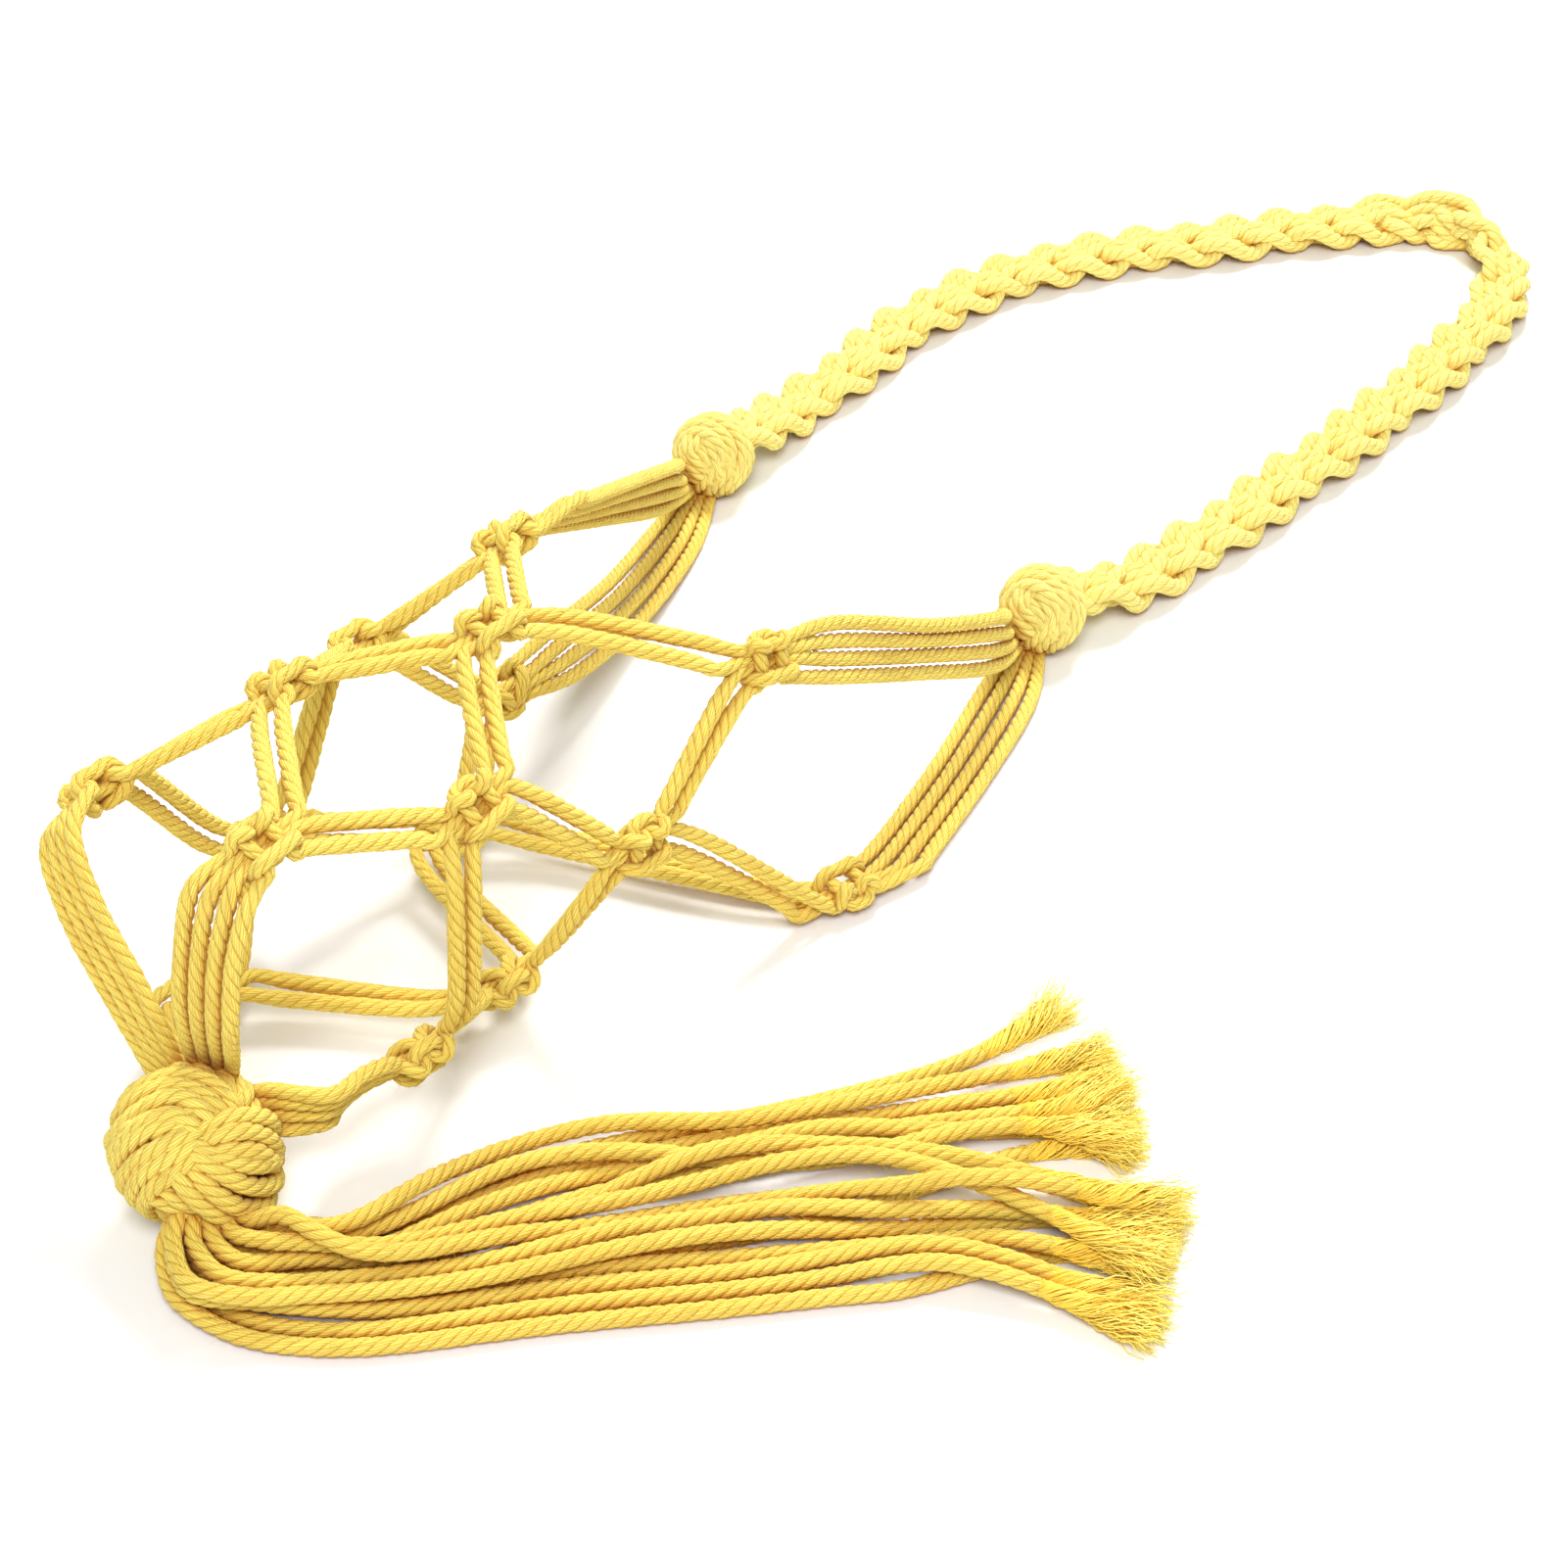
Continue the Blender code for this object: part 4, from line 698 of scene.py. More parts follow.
def mesh_object(name, verts, faces, uvs, tints, material, body):
    """A mesh piece with its lay coordinates, one pair a face corner, on one body."""
    mesh = bpy.data.meshes.new(name)
    mesh.from_pydata(verts.tolist(), [], faces)
    mesh.uv_layers.new(name="lay").data.foreach_set("uv", np.asarray(uvs, dtype=float).ravel())
    attribute = mesh.attributes.new("tint", "FLOAT", "POINT")
    attribute.data.foreach_set("value", np.asarray(tints, dtype=np.float32))
    mesh.shade_smooth()
    piece = bpy.data.objects.new(name, mesh)
    bpy.context.scene.collection.objects.link(piece)
    piece.data.materials.append(material)
    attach(piece, body)
    return piece


def rope(name, path, radii, seed, material, body, crease=CREASE_DEPTH_share):
    """A twisted cord along the path, with rounded ends. Returns the piece and its line."""
    line, thick, at = resample(path, radii, ROPE_STEP)
    line[:, 2] = np.maximum(line[:, 2], thick * LIFT_share)
    ahead, side, other = frames(line)
    around = np.arange(AROUND) / AROUND
    groove = np.abs((around * PLIES) % 1 * 2 - 1) ** CREASE_POWER
    wobble = 1
    for share, waves, start in WOBBLE_shares:
        wobble = wobble + share * np.sin(at * waves + start * seed)
    angle = 2 * math.pi * (around[None] - at[:, None] / LAY) + seed * SEED_TURN
    reach = (thick * wobble)[:, None] * (1 - crease * groove)[None]
    verts = (line[:, None] + side[:, None] * (np.cos(angle) * reach)[..., None]
             + other[:, None] * (np.sin(angle) * reach)[..., None]).reshape(-1, 3)
    rings = len(line)
    n, k = grid(rings - 1, AROUND)
    low, high, j = n * AROUND, (n + 1) * AROUND, (k + 1) % AROUND
    faces = np.stack((low + k, low + j, high + j, high + k), -1)
    v = np.append(around, 1)
    uvs = np.stack((at[n], v[k], at[n], v[k + 1], at[n + 1], v[k + 1], at[n + 1], v[k]), -1)
    first, last, base = len(verts), len(verts) + 1, (rings - 1) * AROUND
    tips = line[0] + (line[0] - line[1]) * TIP_share, line[-1] + (line[-1] - line[-2]) * TIP_share
    verts = np.vstack((verts, tips))
    k = np.arange(AROUND)
    j = (k + 1) % AROUND
    fans = np.vstack((np.stack((k * 0 + first, j, k), -1),
                      np.stack((k * 0 + last, base + k, base + j), -1)))
    tints = np.full(len(verts), (seed * SEED_TINT_share) % 1)
    piece = mesh_object(name, verts, faces.tolist() + fans.tolist(),
                        np.append(uvs, np.zeros(2 * fans.size)), tints, material, body)
    return piece, line


def strands(name, lines, radii, tints, material, body):
    """Fine yarns or fibres as one piece: thin tubes along lines with as many points each."""
    count, points = lines.shape[:2]
    sides = STRAND_SIDES
    ahead = units(np.gradient(lines, axis=1))
    side = units(np.cross(ahead, STRAND_GUIDE))
    other = np.cross(ahead, side)
    taper = radii[:, None] * (1 - STRAND_TAPER_share * np.linspace(0, 1, points)[None] ** 2)
    rim = []
    for k in range(sides):
        a = 2 * math.pi * k / sides
        rim.append(lines + (side * math.cos(a) + other * math.sin(a)) * taper[..., None])
    verts = np.stack(rim, axis=2).reshape(-1, 3)
    s, m, k = grid(count, points - 1, sides)
    j = (k + 1) % sides
    base = (s * points + m) * sides
    faces = np.stack((base + k, base + j, base + sides + j, base + sides + k), -1)
    ends = np.arange(count) * points * sides
    low = np.stack([ends + q for q in range(sides)][::-1], -1)
    high = np.stack([ends + (points - 1) * sides + q for q in range(sides)], -1)
    run, left = m / points, k * UV_STRIP
    right = left + UV_STRIP
    uvs = np.stack((run, left, run, right, run, right, run, left), -1)
    return mesh_object(name, verts, faces.tolist() + low.tolist() + high.tolist(),
                       np.append(uvs, np.zeros(4 * low.size)),
                       np.repeat(tints, points * sides), material, body)


# Materials

FIBRE_TURN_share = 0.80         # how far a ply's own twist turns its fibres back
FIBRES_ROUND = 4.5              # how fine the fibres are round a cord
FIBRES_ALONG = 150.0            # and along it
FIBRE_DETAIL = (1.0, 3.0, 0.6)  # scale, detail and roughness of their noise
FIBRE_LEVEL = 0.5               # at which a fibre is neither pale nor deep in colour
FIBRE_GAIN = 5.0
PATCHES = (60.0, 2.0)           # scale and detail of the uneven dye
GRAIN = (2600.0, 2.0)           # of the finest bumps
MOTTLE = (700.0, 2.0)           # of the shades along a single yarn
GROOVE_POWER = 7.0              # the higher, the narrower the painted shade between two plies
GROOVE_share = 0.95
YARN_LINE_POWER = 1.6
STREAK_share = 0.48             # how deep the colour of streaks along the fibres gets
YARN_LINE_share = 0.50          # and of the painted shade in the lines between yarns
PATCH_share = 0.30              # and of uneven dye
TINT_share = 0.10               # and of a whole cord
EVEN_DYE_share = 0.12           # what of the last two together doesn't show
FIBRE_HEIGHT_share = 0.7
YARN_HEIGHT_share = 0.5
GRAIN_HEIGHT_share = 0.25
BUMP = {"Strength": 0.9, "Distance": 0.00048}
# Of the painted shade in hollow places between cords: within which distance, how open a place is that has
# none, and gain.
CORD_HOLLOW_SHADE = (0.005, 0.86, 1.35)
FIBRE_HOLLOW_SHADE = (0.004, 0.70, 1.2)
HOLLOW_SAMPLES = 6
TIP_GAIN = 1.25                 # how soon a single yarn turns pale along its length
FIBRE_TINT_GAIN = 1.1
COTTON_SURFACE = {"Roughness": 0.88, "Specular IOR Level": 0.2,
                  "Sheen Weight": 0.08, "Sheen Roughness": 0.45}
FIBRE_SURFACE = {"Roughness": 0.9, "Specular IOR Level": 0.1}
FLOOR_SURFACE = {"Base Color": (0.86, 0.86, 0.86, 1), "Roughness": 1.0, "Specular IOR Level": 0.0}
WHITE = (1, 1, 1, 1)


def feed(tree, value, socket):
    """Set a socket to a number or a colour, or link it to what varies."""
    if isinstance(value, (int, float)):
        socket.default_value = value
    elif isinstance(value, tuple):
        socket.default_value = (*value, 1)
    else:
        tree.links.new(value.socket if isinstance(value, Field) else value, socket)


class Field:
    """A number that varies over a surface. Arithmetic with it adds math nodes to its tree."""

    def __init__(self, tree, socket):
        self.tree = tree
        self.socket = socket

    def node(self, operation, *values):
        node = self.tree.nodes.new("ShaderNodeMath")
        node.operation = operation
        for value, socket in zip(values, node.inputs):
            feed(self.tree, value, socket)
        return Field(self.tree, node.outputs[0])

    def to(self, operation, *others):
        return self.node(operation, self, *others)

    def clamped(self):
        """The same number, kept from 0 to 1."""
        self.socket.node.use_clamp = True
        return self

    def __add__(self, other):
        return self.node("ADD", self, other)

    def __sub__(self, other):
        return self.node("SUBTRACT", self, other)

    def __rsub__(self, other):
        return self.node("SUBTRACT", other, self)

    def __mul__(self, other):
        return self.node("MULTIPLY", self, other)

    def __pow__(self, other):
        return self.node("POWER", self, other)

    def __abs__(self):
        return self.node("ABSOLUTE", self)


def new_material(name):
    material = bpy.data.materials.new(name)
    material.use_nodes = True
    return material, material.node_tree, material.node_tree.nodes["Principled BSDF"]


def set_inputs(node, values):
    for name, value in values.items():
        node.inputs[name].default_value = value


def mix_color(tree, share, first, second):
    node = tree.nodes.new("ShaderNodeMix")
    node.data_type = "RGBA"
    for value, number in ((share, 0), (first, 6), (second, 7)):
        feed(tree, value, node.inputs[number])
    return node.outputs[2]


def noise(tree, vector, scale, detail, rough=0.55):
    node = tree.nodes.new("ShaderNodeTexNoise")
    set_inputs(node, {"Scale": scale, "Detail": detail, "Roughness": rough})
    feed(tree, vector, node.inputs["Vector"])
    return Field(tree, node.outputs["Fac"])


def lay_place(tree):
    """The two lay coordinates: along a cord, and round it."""
    lay = tree.nodes.new("ShaderNodeUVMap")
    lay.uv_map = "lay"
    parts = tree.nodes.new("ShaderNodeSeparateXYZ")
    feed(tree, lay.outputs[0], parts.inputs[0])
    return Field(tree, parts.outputs[0]), Field(tree, parts.outputs[1])


def own_tint(tree):
    """The shade that each cord, yarn or fibre has of its own, from 0 to 1."""
    tint = tree.nodes.new("ShaderNodeAttribute")
    tint.attribute_name = "tint"
    return Field(tree, tint.outputs["Fac"])


def hollow_shade(tree, reach, open_level, gain):
    """Painted shade: how far a place lies in a hollow between cords, where light is caught and turns
    deeper, painted as a deeper colour.
    """
    node = tree.nodes.new("ShaderNodeAmbientOcclusion")
    node.samples = HOLLOW_SAMPLES
    node.inputs["Distance"].default_value = reach
    return ((open_level - Field(tree, node.outputs["AO"])) * gain).clamped()


def cotton(name, lit, deep, fine):
    """Dyed cotton cord: fibres that run with the plies, uneven dye, and painted shade in the grooves
    between plies and yarns and in hollow places between cords.
    """
    material, tree, shader = new_material(name)
    along, around = lay_place(tree)
    where = tree.nodes.new("ShaderNodeTexCoord").outputs["Object"]
    angle = (around + along * (-FIBRE_TURN_share / LAY)) * (2 * math.pi)
    place = tree.nodes.new("ShaderNodeCombineXYZ")
    spot = angle.to("SINE") * FIBRES_ROUND, angle.to("COSINE") * FIBRES_ROUND, along * FIBRES_ALONG
    for value, socket in zip(spot, place.inputs):
        feed(tree, value, socket)
    fibres = noise(tree, place.outputs[0], *FIBRE_DETAIL)
    ply = (around * PLIES).to("FRACT")
    # painted shade in the grooves between plies
    groove = abs(ply * 2 - 1) ** GROOVE_POWER * GROOVE_share
    streak = ((FIBRE_LEVEL - fibres) * FIBRE_GAIN).clamped()
    sway = (fibres - FIBRE_LEVEL) * FIBRE_GAIN
    yarn = abs((angle * (PLIES * YARNS_IN_PLY / 2) + sway).to("SINE"))
    # painted shade in the lines between yarns
    line = (1 - yarn) ** YARN_LINE_POWER
    fine_lines = streak * (STREAK_share * fine) + line * (YARN_LINE_share * fine)
    # all painted shade together, with the streaks along the fibres
    shade = groove.to("MAXIMUM", fine_lines).to("MAXIMUM", hollow_shade(tree, *CORD_HOLLOW_SHADE))
    color = mix_color(tree, shade.to("MINIMUM", 1), lit, deep)
    uneven = noise(tree, where, *PATCHES) * PATCH_share + own_tint(tree) * TINT_share
    color = mix_color(tree, (uneven - EVEN_DYE_share).clamped(), color, deep)
    feed(tree, color, shader.inputs["Base Color"])
    height = fibres * FIBRE_HEIGHT_share + yarn * YARN_HEIGHT_share
    height = height + noise(tree, where, *GRAIN) * GRAIN_HEIGHT_share
    bump = tree.nodes.new("ShaderNodeBump")
    set_inputs(bump, BUMP)
    feed(tree, height, bump.inputs["Height"])
    feed(tree, bump.outputs[0], shader.inputs["Normal"])
    set_inputs(shader, COTTON_SURFACE)
    return material


def loose_fibre(name, root, tip, deep):
    """Single yarns and fuzz: each of its own shade, and paler at its end, where light comes through."""
    material, tree, shader = new_material(name)
    along = lay_place(tree)[0]
    where = tree.nodes.new("ShaderNodeTexCoord").outputs["Object"]
    color = mix_color(tree, (along * TIP_GAIN).clamped(), root, tip)
    share = (own_tint(tree) * noise(tree, where, *MOTTLE) * FIBRE_TINT_GAIN).clamped()
    color = mix_color(tree, share, color, deep)
    # painted shade where the yarns lie close together
    color = mix_color(tree, hollow_shade(tree, *FIBRE_HOLLOW_SHADE), color, deep)
    feed(tree, color, shader.inputs["Base Color"])
    set_inputs(shader, FIBRE_SURFACE)
    return material


# Colour in the light, colour of the painted shade in hollow places and grooves and of uneven dye, and how
# strong the fine lines are.
net_cotton = cotton("net_cotton", (0.99, 0.82, 0.165), (0.62, 0.25, 0.010), 0.75)
# painted light: the strap and side knots are painted paler than the net, for the stronger light that
# falls on them
strap_cotton = cotton("strap_cotton", (0.99, 0.93, 0.285), (0.78, 0.38, 0.025), 0.70)
tassel_cotton = cotton("tassel_cotton", (0.98, 0.79, 0.145), (0.60, 0.22, 0.006), 0.75)
# painted light: the large knot is painted paler than the net and the tassel, for more light on it
knot_cotton = cotton("knot_cotton", (1.00, 0.85, 0.180), (0.62, 0.25, 0.010), 0.75)
# Colour at the root, at the tip, painted paler for the light that comes through there, and where it is
# deepest: in its own mottle and in painted shade among close yarns.
fibre_cotton = loose_fibre("fibre_cotton", (0.97, 0.75, 0.13), (1.00, 0.97, 0.28), (1.00, 0.62, 0.045))


# Fuzz

FUZZ_PER_METRE = 1050
FUZZ_RADIUS = 0.000028
FUZZ_REACH = 0.00045            # how far fibres stand off on average, past the least
LEAST_FUZZ_REACH = 0.00015
FUZZ_ROOT_share = 0.86          # of a cord's radius, where fibres start
FUZZ_LEAN_shares = (0.7, 0.8)   # how much they lean along the cord and round it
FUZZ_SPREAD_share = 1.6         # how far a lean takes their ends
FUZZ_CURL_share = 0.5           # how much they curl at random
FUZZ_DROOP_share = 0.4          # how much they bend back to the cord
FUZZ_POINTS = 3
fuzz_lines = {"net": [], "strap": [], "tassel": []}


def add_fuzz(body, line, radius):
    """Short fibres that stand off a cord's surface."""
    count = int(length_of(line) * FUZZ_PER_METRE)
    ahead, side, other = frames(line)
    at = random.integers(1, len(line) - 1, count)
    angle = random.uniform(0, 2 * math.pi, count)
    out = side[at] * np.cos(angle)[:, None] + other[at] * np.sin(angle)[:, None]
    lean = ahead[at] * random.normal(0, FUZZ_LEAN_shares[0], (count, 1))
    lean = lean + np.cross(ahead[at], out) * random.normal(0, FUZZ_LEAN_shares[1], (count, 1))
    reach = random.exponential(FUZZ_REACH, count) + LEAST_FUZZ_REACH
    start = line[at] + out * (radius * FUZZ_ROOT_share)
    t = np.linspace(0, 1, FUZZ_POINTS)[None, :, None]
    bend = random.normal(0, FUZZ_CURL_share, (count, 1, 3)) * reach[:, None, None]
    rise = t * (1 + FUZZ_DROOP_share) - FUZZ_DROOP_share * t ** 2
    lines = (start[:, None] + (out * reach[:, None])[:, None] * rise
             + (lean * reach[:, None])[:, None] * t * FUZZ_SPREAD_share + bend * t ** 2)
    lines[..., 2] = np.maximum(lines[..., 2], FLOOR_CLEARANCE)
    fuzz_lines[body].append(lines)


# The camera stands where the photograph was taken from.

YAW, PITCH = 40.28, 38.53
FOCAL_share = 3250 / 1601       # focal length as a share of the picture's width
CAMERA_PLACE = (-0.29914, -0.41565, 0.49126)
SENSOR = 36.0
CLIP_START = 0.01

tassel_centre = np.array((-TASSEL_KNOT_DROP, -TASSEL_KNOT_OFFSET, TASSEL_KNOT_RADIUS - FOOT_DEPTH))
joints = {joint["name"]: joint for joint in frame["joints"]}
shift = np.array(joints["tassel_swing"]["pos_m"]) - tassel_centre
view_ahead = direction(YAW, -PITCH)
view_right = unit(np.cross(view_ahead, (0, 0, 1)))
view_up = np.cross(view_right, view_ahead)
camera = bpy.data.objects.new("camera", bpy.data.cameras.new("camera"))
bpy.context.scene.collection.objects.link(camera)
camera.data.sensor_width = SENSOR
camera.data.lens = FOCAL_share * SENSOR
camera.data.clip_start = CLIP_START
camera.location = Vector(np.array(CAMERA_PLACE) + shift)
camera.rotation_euler = Vector(view_ahead).to_track_quat("-Z", "Y").to_euler()
bpy.context.scene.camera = camera


# Net

KNOT_CORD_RADIUS = 0.00168      # a cord inside a square knot
NET_CORD_RADIUS = 0.00190       # and outside it, at least
ENTRY_REACH_share = 0.86        # how far out, as the camera sees it, a cord goes under a knot's bands
ENTRY_BACK_share = 0.18         # and how far behind the knot's middle
KNOT_SINK_share = 0.45          # how deep in a knot the cords end
RIGHT_TAILS = (3, 4, 5, 6)      # the cords that run from the lowest knot on the right to the large knot
TAIL_FAN = 0.0030               # between two of them where they meet it, more than in the model
TAIL_FAN_shares = (1.0, 0.6, 0.3, 0.1)  # of it at a cord's last points, from its end
TAIL_FAN_WAY = (0.45, -0.89)    # to the right and up, as the camera sees it
ROUNDING = 1e-6                 # between two radii that are meant to be the same


def fuller(radius):
    """The drawn radius of a cord: squeezed cords touch, where the model leaves a gap."""
    if radius <= TIGHT_CORD_DIAMETER / 2 + ROUNDING:
        return KNOT_CORD_RADIUS
    return max(radius, NET_CORD_RADIUS)


def knot_end(centre, radius, *points):
    """A cord's last points: where it goes under a wrapped knot's bands, and its end inside.

    The camera sees it go in on the side of the knot that the points lie on.
    """
    flat = [unit((np.dot(p - centre, view_right), np.dot(p - centre, view_up))) for p in points]
    out = unit(flat[0] + flat[1]) * radius * ENTRY_REACH_share
    entry = (centre + view_right * out[0] + view_up * out[1]
             + view_ahead * radius * ENTRY_BACK_share)
    return entry, centre + (entry - centre) * KNOT_SINK_share


def net_rope(number, top_knot, place):
    """A drawn cord of the net, from inside its side knot to inside the large knot."""
    path, radii = net_cord(top_knot, place)
    upper = knot_end(side_centre(top_knot), SIDE_KNOT_RADIUS, path[0], path[2])
    lower = knot_end(tassel_centre, TASSEL_KNOT_RADIUS, path[-1], path[-3])
    path = np.array([upper[1], upper[0]] + path[2:-2] + [lower[0], lower[1]])
    if number in RIGHT_TAILS:
        fan = view_right * TAIL_FAN_WAY[0] + view_up * TAIL_FAN_WAY[1]
        rank = sum(RIGHT_TAILS) / len(RIGHT_TAILS) - number
        for k, share in enumerate(TAIL_FAN_shares):
            path[-2 - k] += fan * rank * TAIL_FAN * share
    piece, line = rope(f"net_rope_{number:02d}", path + shift, [fuller(r) for r in radii], number,
                       net_cotton, "net")
    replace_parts(piece, f"net_cord_{number:02d}")
    add_fuzz("net", line, NET_CORD_RADIUS)


for row, knot in enumerate(TOP_KNOTS):
    for place in range(4):
        net_rope(4 * row + place + 1, knot, place)


# Wrapped knots: families of cords that lie on a ball, as the photograph shows them. Each family
# is a line of points (right, up, towards the camera, height as a share of the radius), how far
# its cords lie to each side of it, and how close together they start.

LARGE_KNOT_FAMILIES_shares = (
    (((0.46, 0.36, 0.80, 0.80), (0.36, 0.53, 0.77, 0.97), (-0.04, 0.76, 0.65, 1.00),
      (-0.53, 0.64, 0.56, 1.00), (-0.87, 0.33, 0.36, 1.00), (-0.97, 0.00, -0.25, 0.99),
      (-0.78, -0.30, -0.55, 0.98), (-0.35, -0.50, -0.80, 0.95), (0.15, -0.50, -0.85, 0.80)),
     (-0.36, -0.12, 0.12, 0.36), 0.80),
    (((0.36, 0.18, 0.92, 0.76), (0.20, 0.27, 0.94, 0.92), (-0.10, 0.19, 0.98, 0.96),
      (-0.46, 0.00, 0.89, 0.98), (-0.73, -0.25, 0.64, 0.98), (-0.84, -0.50, 0.15, 0.97),
      (-0.70, -0.65, -0.35, 0.94), (-0.30, -0.60, -0.75, 0.90), (0.20, -0.40, -0.90, 0.78)),
     (-0.44, -0.22, 0.00, 0.22, 0.44), 0.40),
    (((0.00, 0.16, 0.98, 0.76), (0.12, 0.12, 0.99, 0.88), (0.45, -0.02, 0.89, 0.98),
      (0.80, -0.14, 0.58, 1.01), (0.98, -0.18, 0.05, 1.04), (0.85, -0.25, -0.45, 1.00),
      (0.40, -0.10, -0.90, 0.82)), (0.0,), 1.0),
    (((0.05, 0.12, 0.99, 0.78), (0.12, 0.04, 0.99, 0.90), (0.38, -0.15, 0.91, 1.00),
      (0.74, -0.38, 0.56, 1.06), (0.93, -0.42, 0.05, 1.10), (0.80, -0.30, -0.50, 1.00),
      (0.40, -0.10, -0.90, 0.82)), (0.0,), 1.0),
    (((-0.05, 0.06, 0.99, 0.74), (0.05, -0.08, 0.99, 0.86), (0.26, -0.36, 0.90, 0.98),
      (0.60, -0.62, 0.50, 1.10), (0.80, -0.60, 0.00, 1.14), (0.70, -0.45, -0.55, 1.00),
      (0.30, -0.20, -0.90, 0.82)), (0.0,), 1.0),
    (((-0.20, 0.08, 0.97, 0.78), (-0.13, -0.08, 0.98, 0.91), (0.00, -0.36, 0.93, 1.00),
      (0.28, -0.65, 0.70, 1.07), (0.60, -0.80, 0.15, 1.20), (0.60, -0.75, -0.30, 1.15),
      (0.40, -0.55, -0.75, 1.00), (0.10, -0.30, -0.95, 0.82)), (0.0,), 1.0),
    (((0.24, 0.12, 0.95, 0.76), (0.36, 0.20, 0.91, 0.90), (0.56, 0.24, 0.79, 1.00),
      (0.84, 0.20, 0.50, 1.02), (0.95, 0.05, 0.10, 1.02), (0.88, -0.15, -0.40, 1.00),
      (0.60, -0.30, -0.75, 0.95), (0.10, -0.30, -0.95, 0.80)), (-0.23, 0.0, 0.23), 0.75),
    (((-0.62, -0.30, 0.72, 0.84), (-0.44, -0.45, 0.77, 0.91), (-0.17, -0.64, 0.75, 0.93),
      (0.20, -0.82, 0.50, 0.92), (0.35, -0.90, 0.00, 0.84)), (-0.12, 0.12), 1.0),
    (((0.55, 0.70, 0.45, 0.82), (0.30, 0.93, 0.10, 0.94), (-0.10, 0.92, -0.40, 0.98),
      (-0.45, 0.60, -0.65, 0.98), (-0.60, 0.20, -0.77, 0.95), (-0.50, -0.20, -0.85, 0.82)),
     (-0.36, -0.12, 0.12, 0.36), 1.0),
    (((0.85, 0.40, 0.35, 0.82), (0.75, 0.55, -0.35, 0.95), (0.45, 0.55, -0.70, 0.97),
      (0.10, 0.40, -0.90, 0.94), (-0.30, 0.10, -0.95, 0.80)), (-0.24, 0.0, 0.24), 1.0),
    (((-0.60, -0.70, 0.40, 0.82), (-0.20, -0.95, 0.20, 0.90), (0.10, -0.95, -0.30, 0.92),
      (0.20, -0.75, -0.65, 0.82)), (-0.24, 0.0, 0.24), 1.0),
)
SIDE_KNOT_FAMILIES_shares = (
    (((-0.55, -0.10, -0.35, 0.78), (-0.75, 0.15, -0.30, 0.95), (-0.85, 0.50, 0.10, 1.00),
      (-0.50, 0.85, 0.35, 1.00), (0.00, 0.80, 0.60, 1.00), (0.45, 0.45, 0.75, 1.00),
      (0.62, 0.00, 0.75, 1.00), (0.45, -0.50, 0.65, 1.00), (0.15, -0.80, 0.40, 1.00),
      (-0.05, -0.85, -0.10, 1.00), (-0.20, -0.60, -0.75, 0.97), (-0.30, -0.10, -0.90, 0.85)),
     (-0.48, -0.16, 0.16, 0.48), 0.8),
    (((-0.28, 0.64, 0.50, 0.72), (-0.38, 0.50, 0.60, 0.90), (-0.65, 0.25, 0.65, 0.98),
      (-0.70, -0.15, 0.60, 1.00), (-0.40, -0.50, 0.65, 0.98), (0.00, -0.70, 0.55, 0.92),
      (0.30, -0.75, 0.20, 0.76)), (-0.30, 0.0, 0.30), 0.7),
    (((-0.36, 0.52, 0.75, 0.72), (-0.24, 0.36, 0.90, 0.86), (0.00, 0.05, 1.00, 0.93),
      (0.14, -0.32, 0.93, 0.97), (0.20, -0.66, 0.70, 0.98), (0.22, -0.88, 0.30, 0.88)),
     (-0.30, 0.0, 0.30), 0.75),
    (((0.50, 0.60, -0.30, 0.86), (0.75, 0.15, -0.55, 0.97), (0.55, -0.40, -0.65, 0.97),
      (0.10, -0.60, -0.75, 0.86)), (-0.64, -0.32, 0.0, 0.32), 1.0),
    (((0.45, 0.80, 0.00, 0.84), (0.90, 0.30, 0.05, 0.92), (0.90, -0.20, 0.05, 0.92),
      (0.55, -0.75, 0.05, 0.84)), (-0.32, 0.0), 1.0),
    (((0.00, 0.85, -0.40, 0.84), (-0.30, 0.50, -0.80, 0.94), (-0.35, 0.00, -0.90, 0.94),
      (-0.20, -0.40, -0.85, 0.80)), (-0.30, 0.0, 0.30), 1.0),
)
LARGE_WRAP_RADIUS = 0.00210
SIDE_WRAP_RADIUS = 0.00190
WRAP_RADIUS_shares = (0.98, 1.08)   # least and greatest of the cords in one knot
WRAP_SECTIONS = 6               # between two points of a family's line
WRAP_STRAY = 0.025              # how far a cord strays to the sides, in radians
WRAP_RIPPLE_share = 0.012       # and up and down
WRAP_WAVES = 9                  # of the stray along a cord, in radians
RIPPLE_WAVES = 1.7              # how much faster the ripple goes
OPENED_share = 1 / 3            # of the line, in which a family's cords open out
PHASES = 6.28                   # a full turn, in radians
FAMILY_SEED = 20                # of a knot's first cord
FAMILY_SEEDS = 5                # from one family to the next
KNOT_CORE_share = 0.80
CORE_FINENESS = 4
CORE_BUMP_share = 0.03
CORE_WAVES = (2600, 2300, 1900)     # of its bumps, in radians a metre


def knot_core(name, centre, radius, material):
    """The bumpy inside of a wrapped knot, which shows dark between its cords."""
    ball = bmesh.new()
    bmesh.ops.create_icosphere(ball, subdivisions=CORE_FINENESS, radius=radius * KNOT_CORE_share)
    ball.verts.index_update()
    verts = []
    for vert in ball.verts:
        x, y, z = (at * waves for at, waves in zip(vert.co, CORE_WAVES))
        vert.co *= 1 + CORE_BUMP_share * math.sin(x) * math.sin(y + z)
        verts.append(vert.co[:])
    faces = [[vert.index for vert in face.verts] for face in ball.faces]
    ball.free()
    return mesh_object(f"{name}_core", np.array(verts) + centre, faces, np.zeros(len(faces) * 6),
                       np.zeros(len(verts)), material, "net")


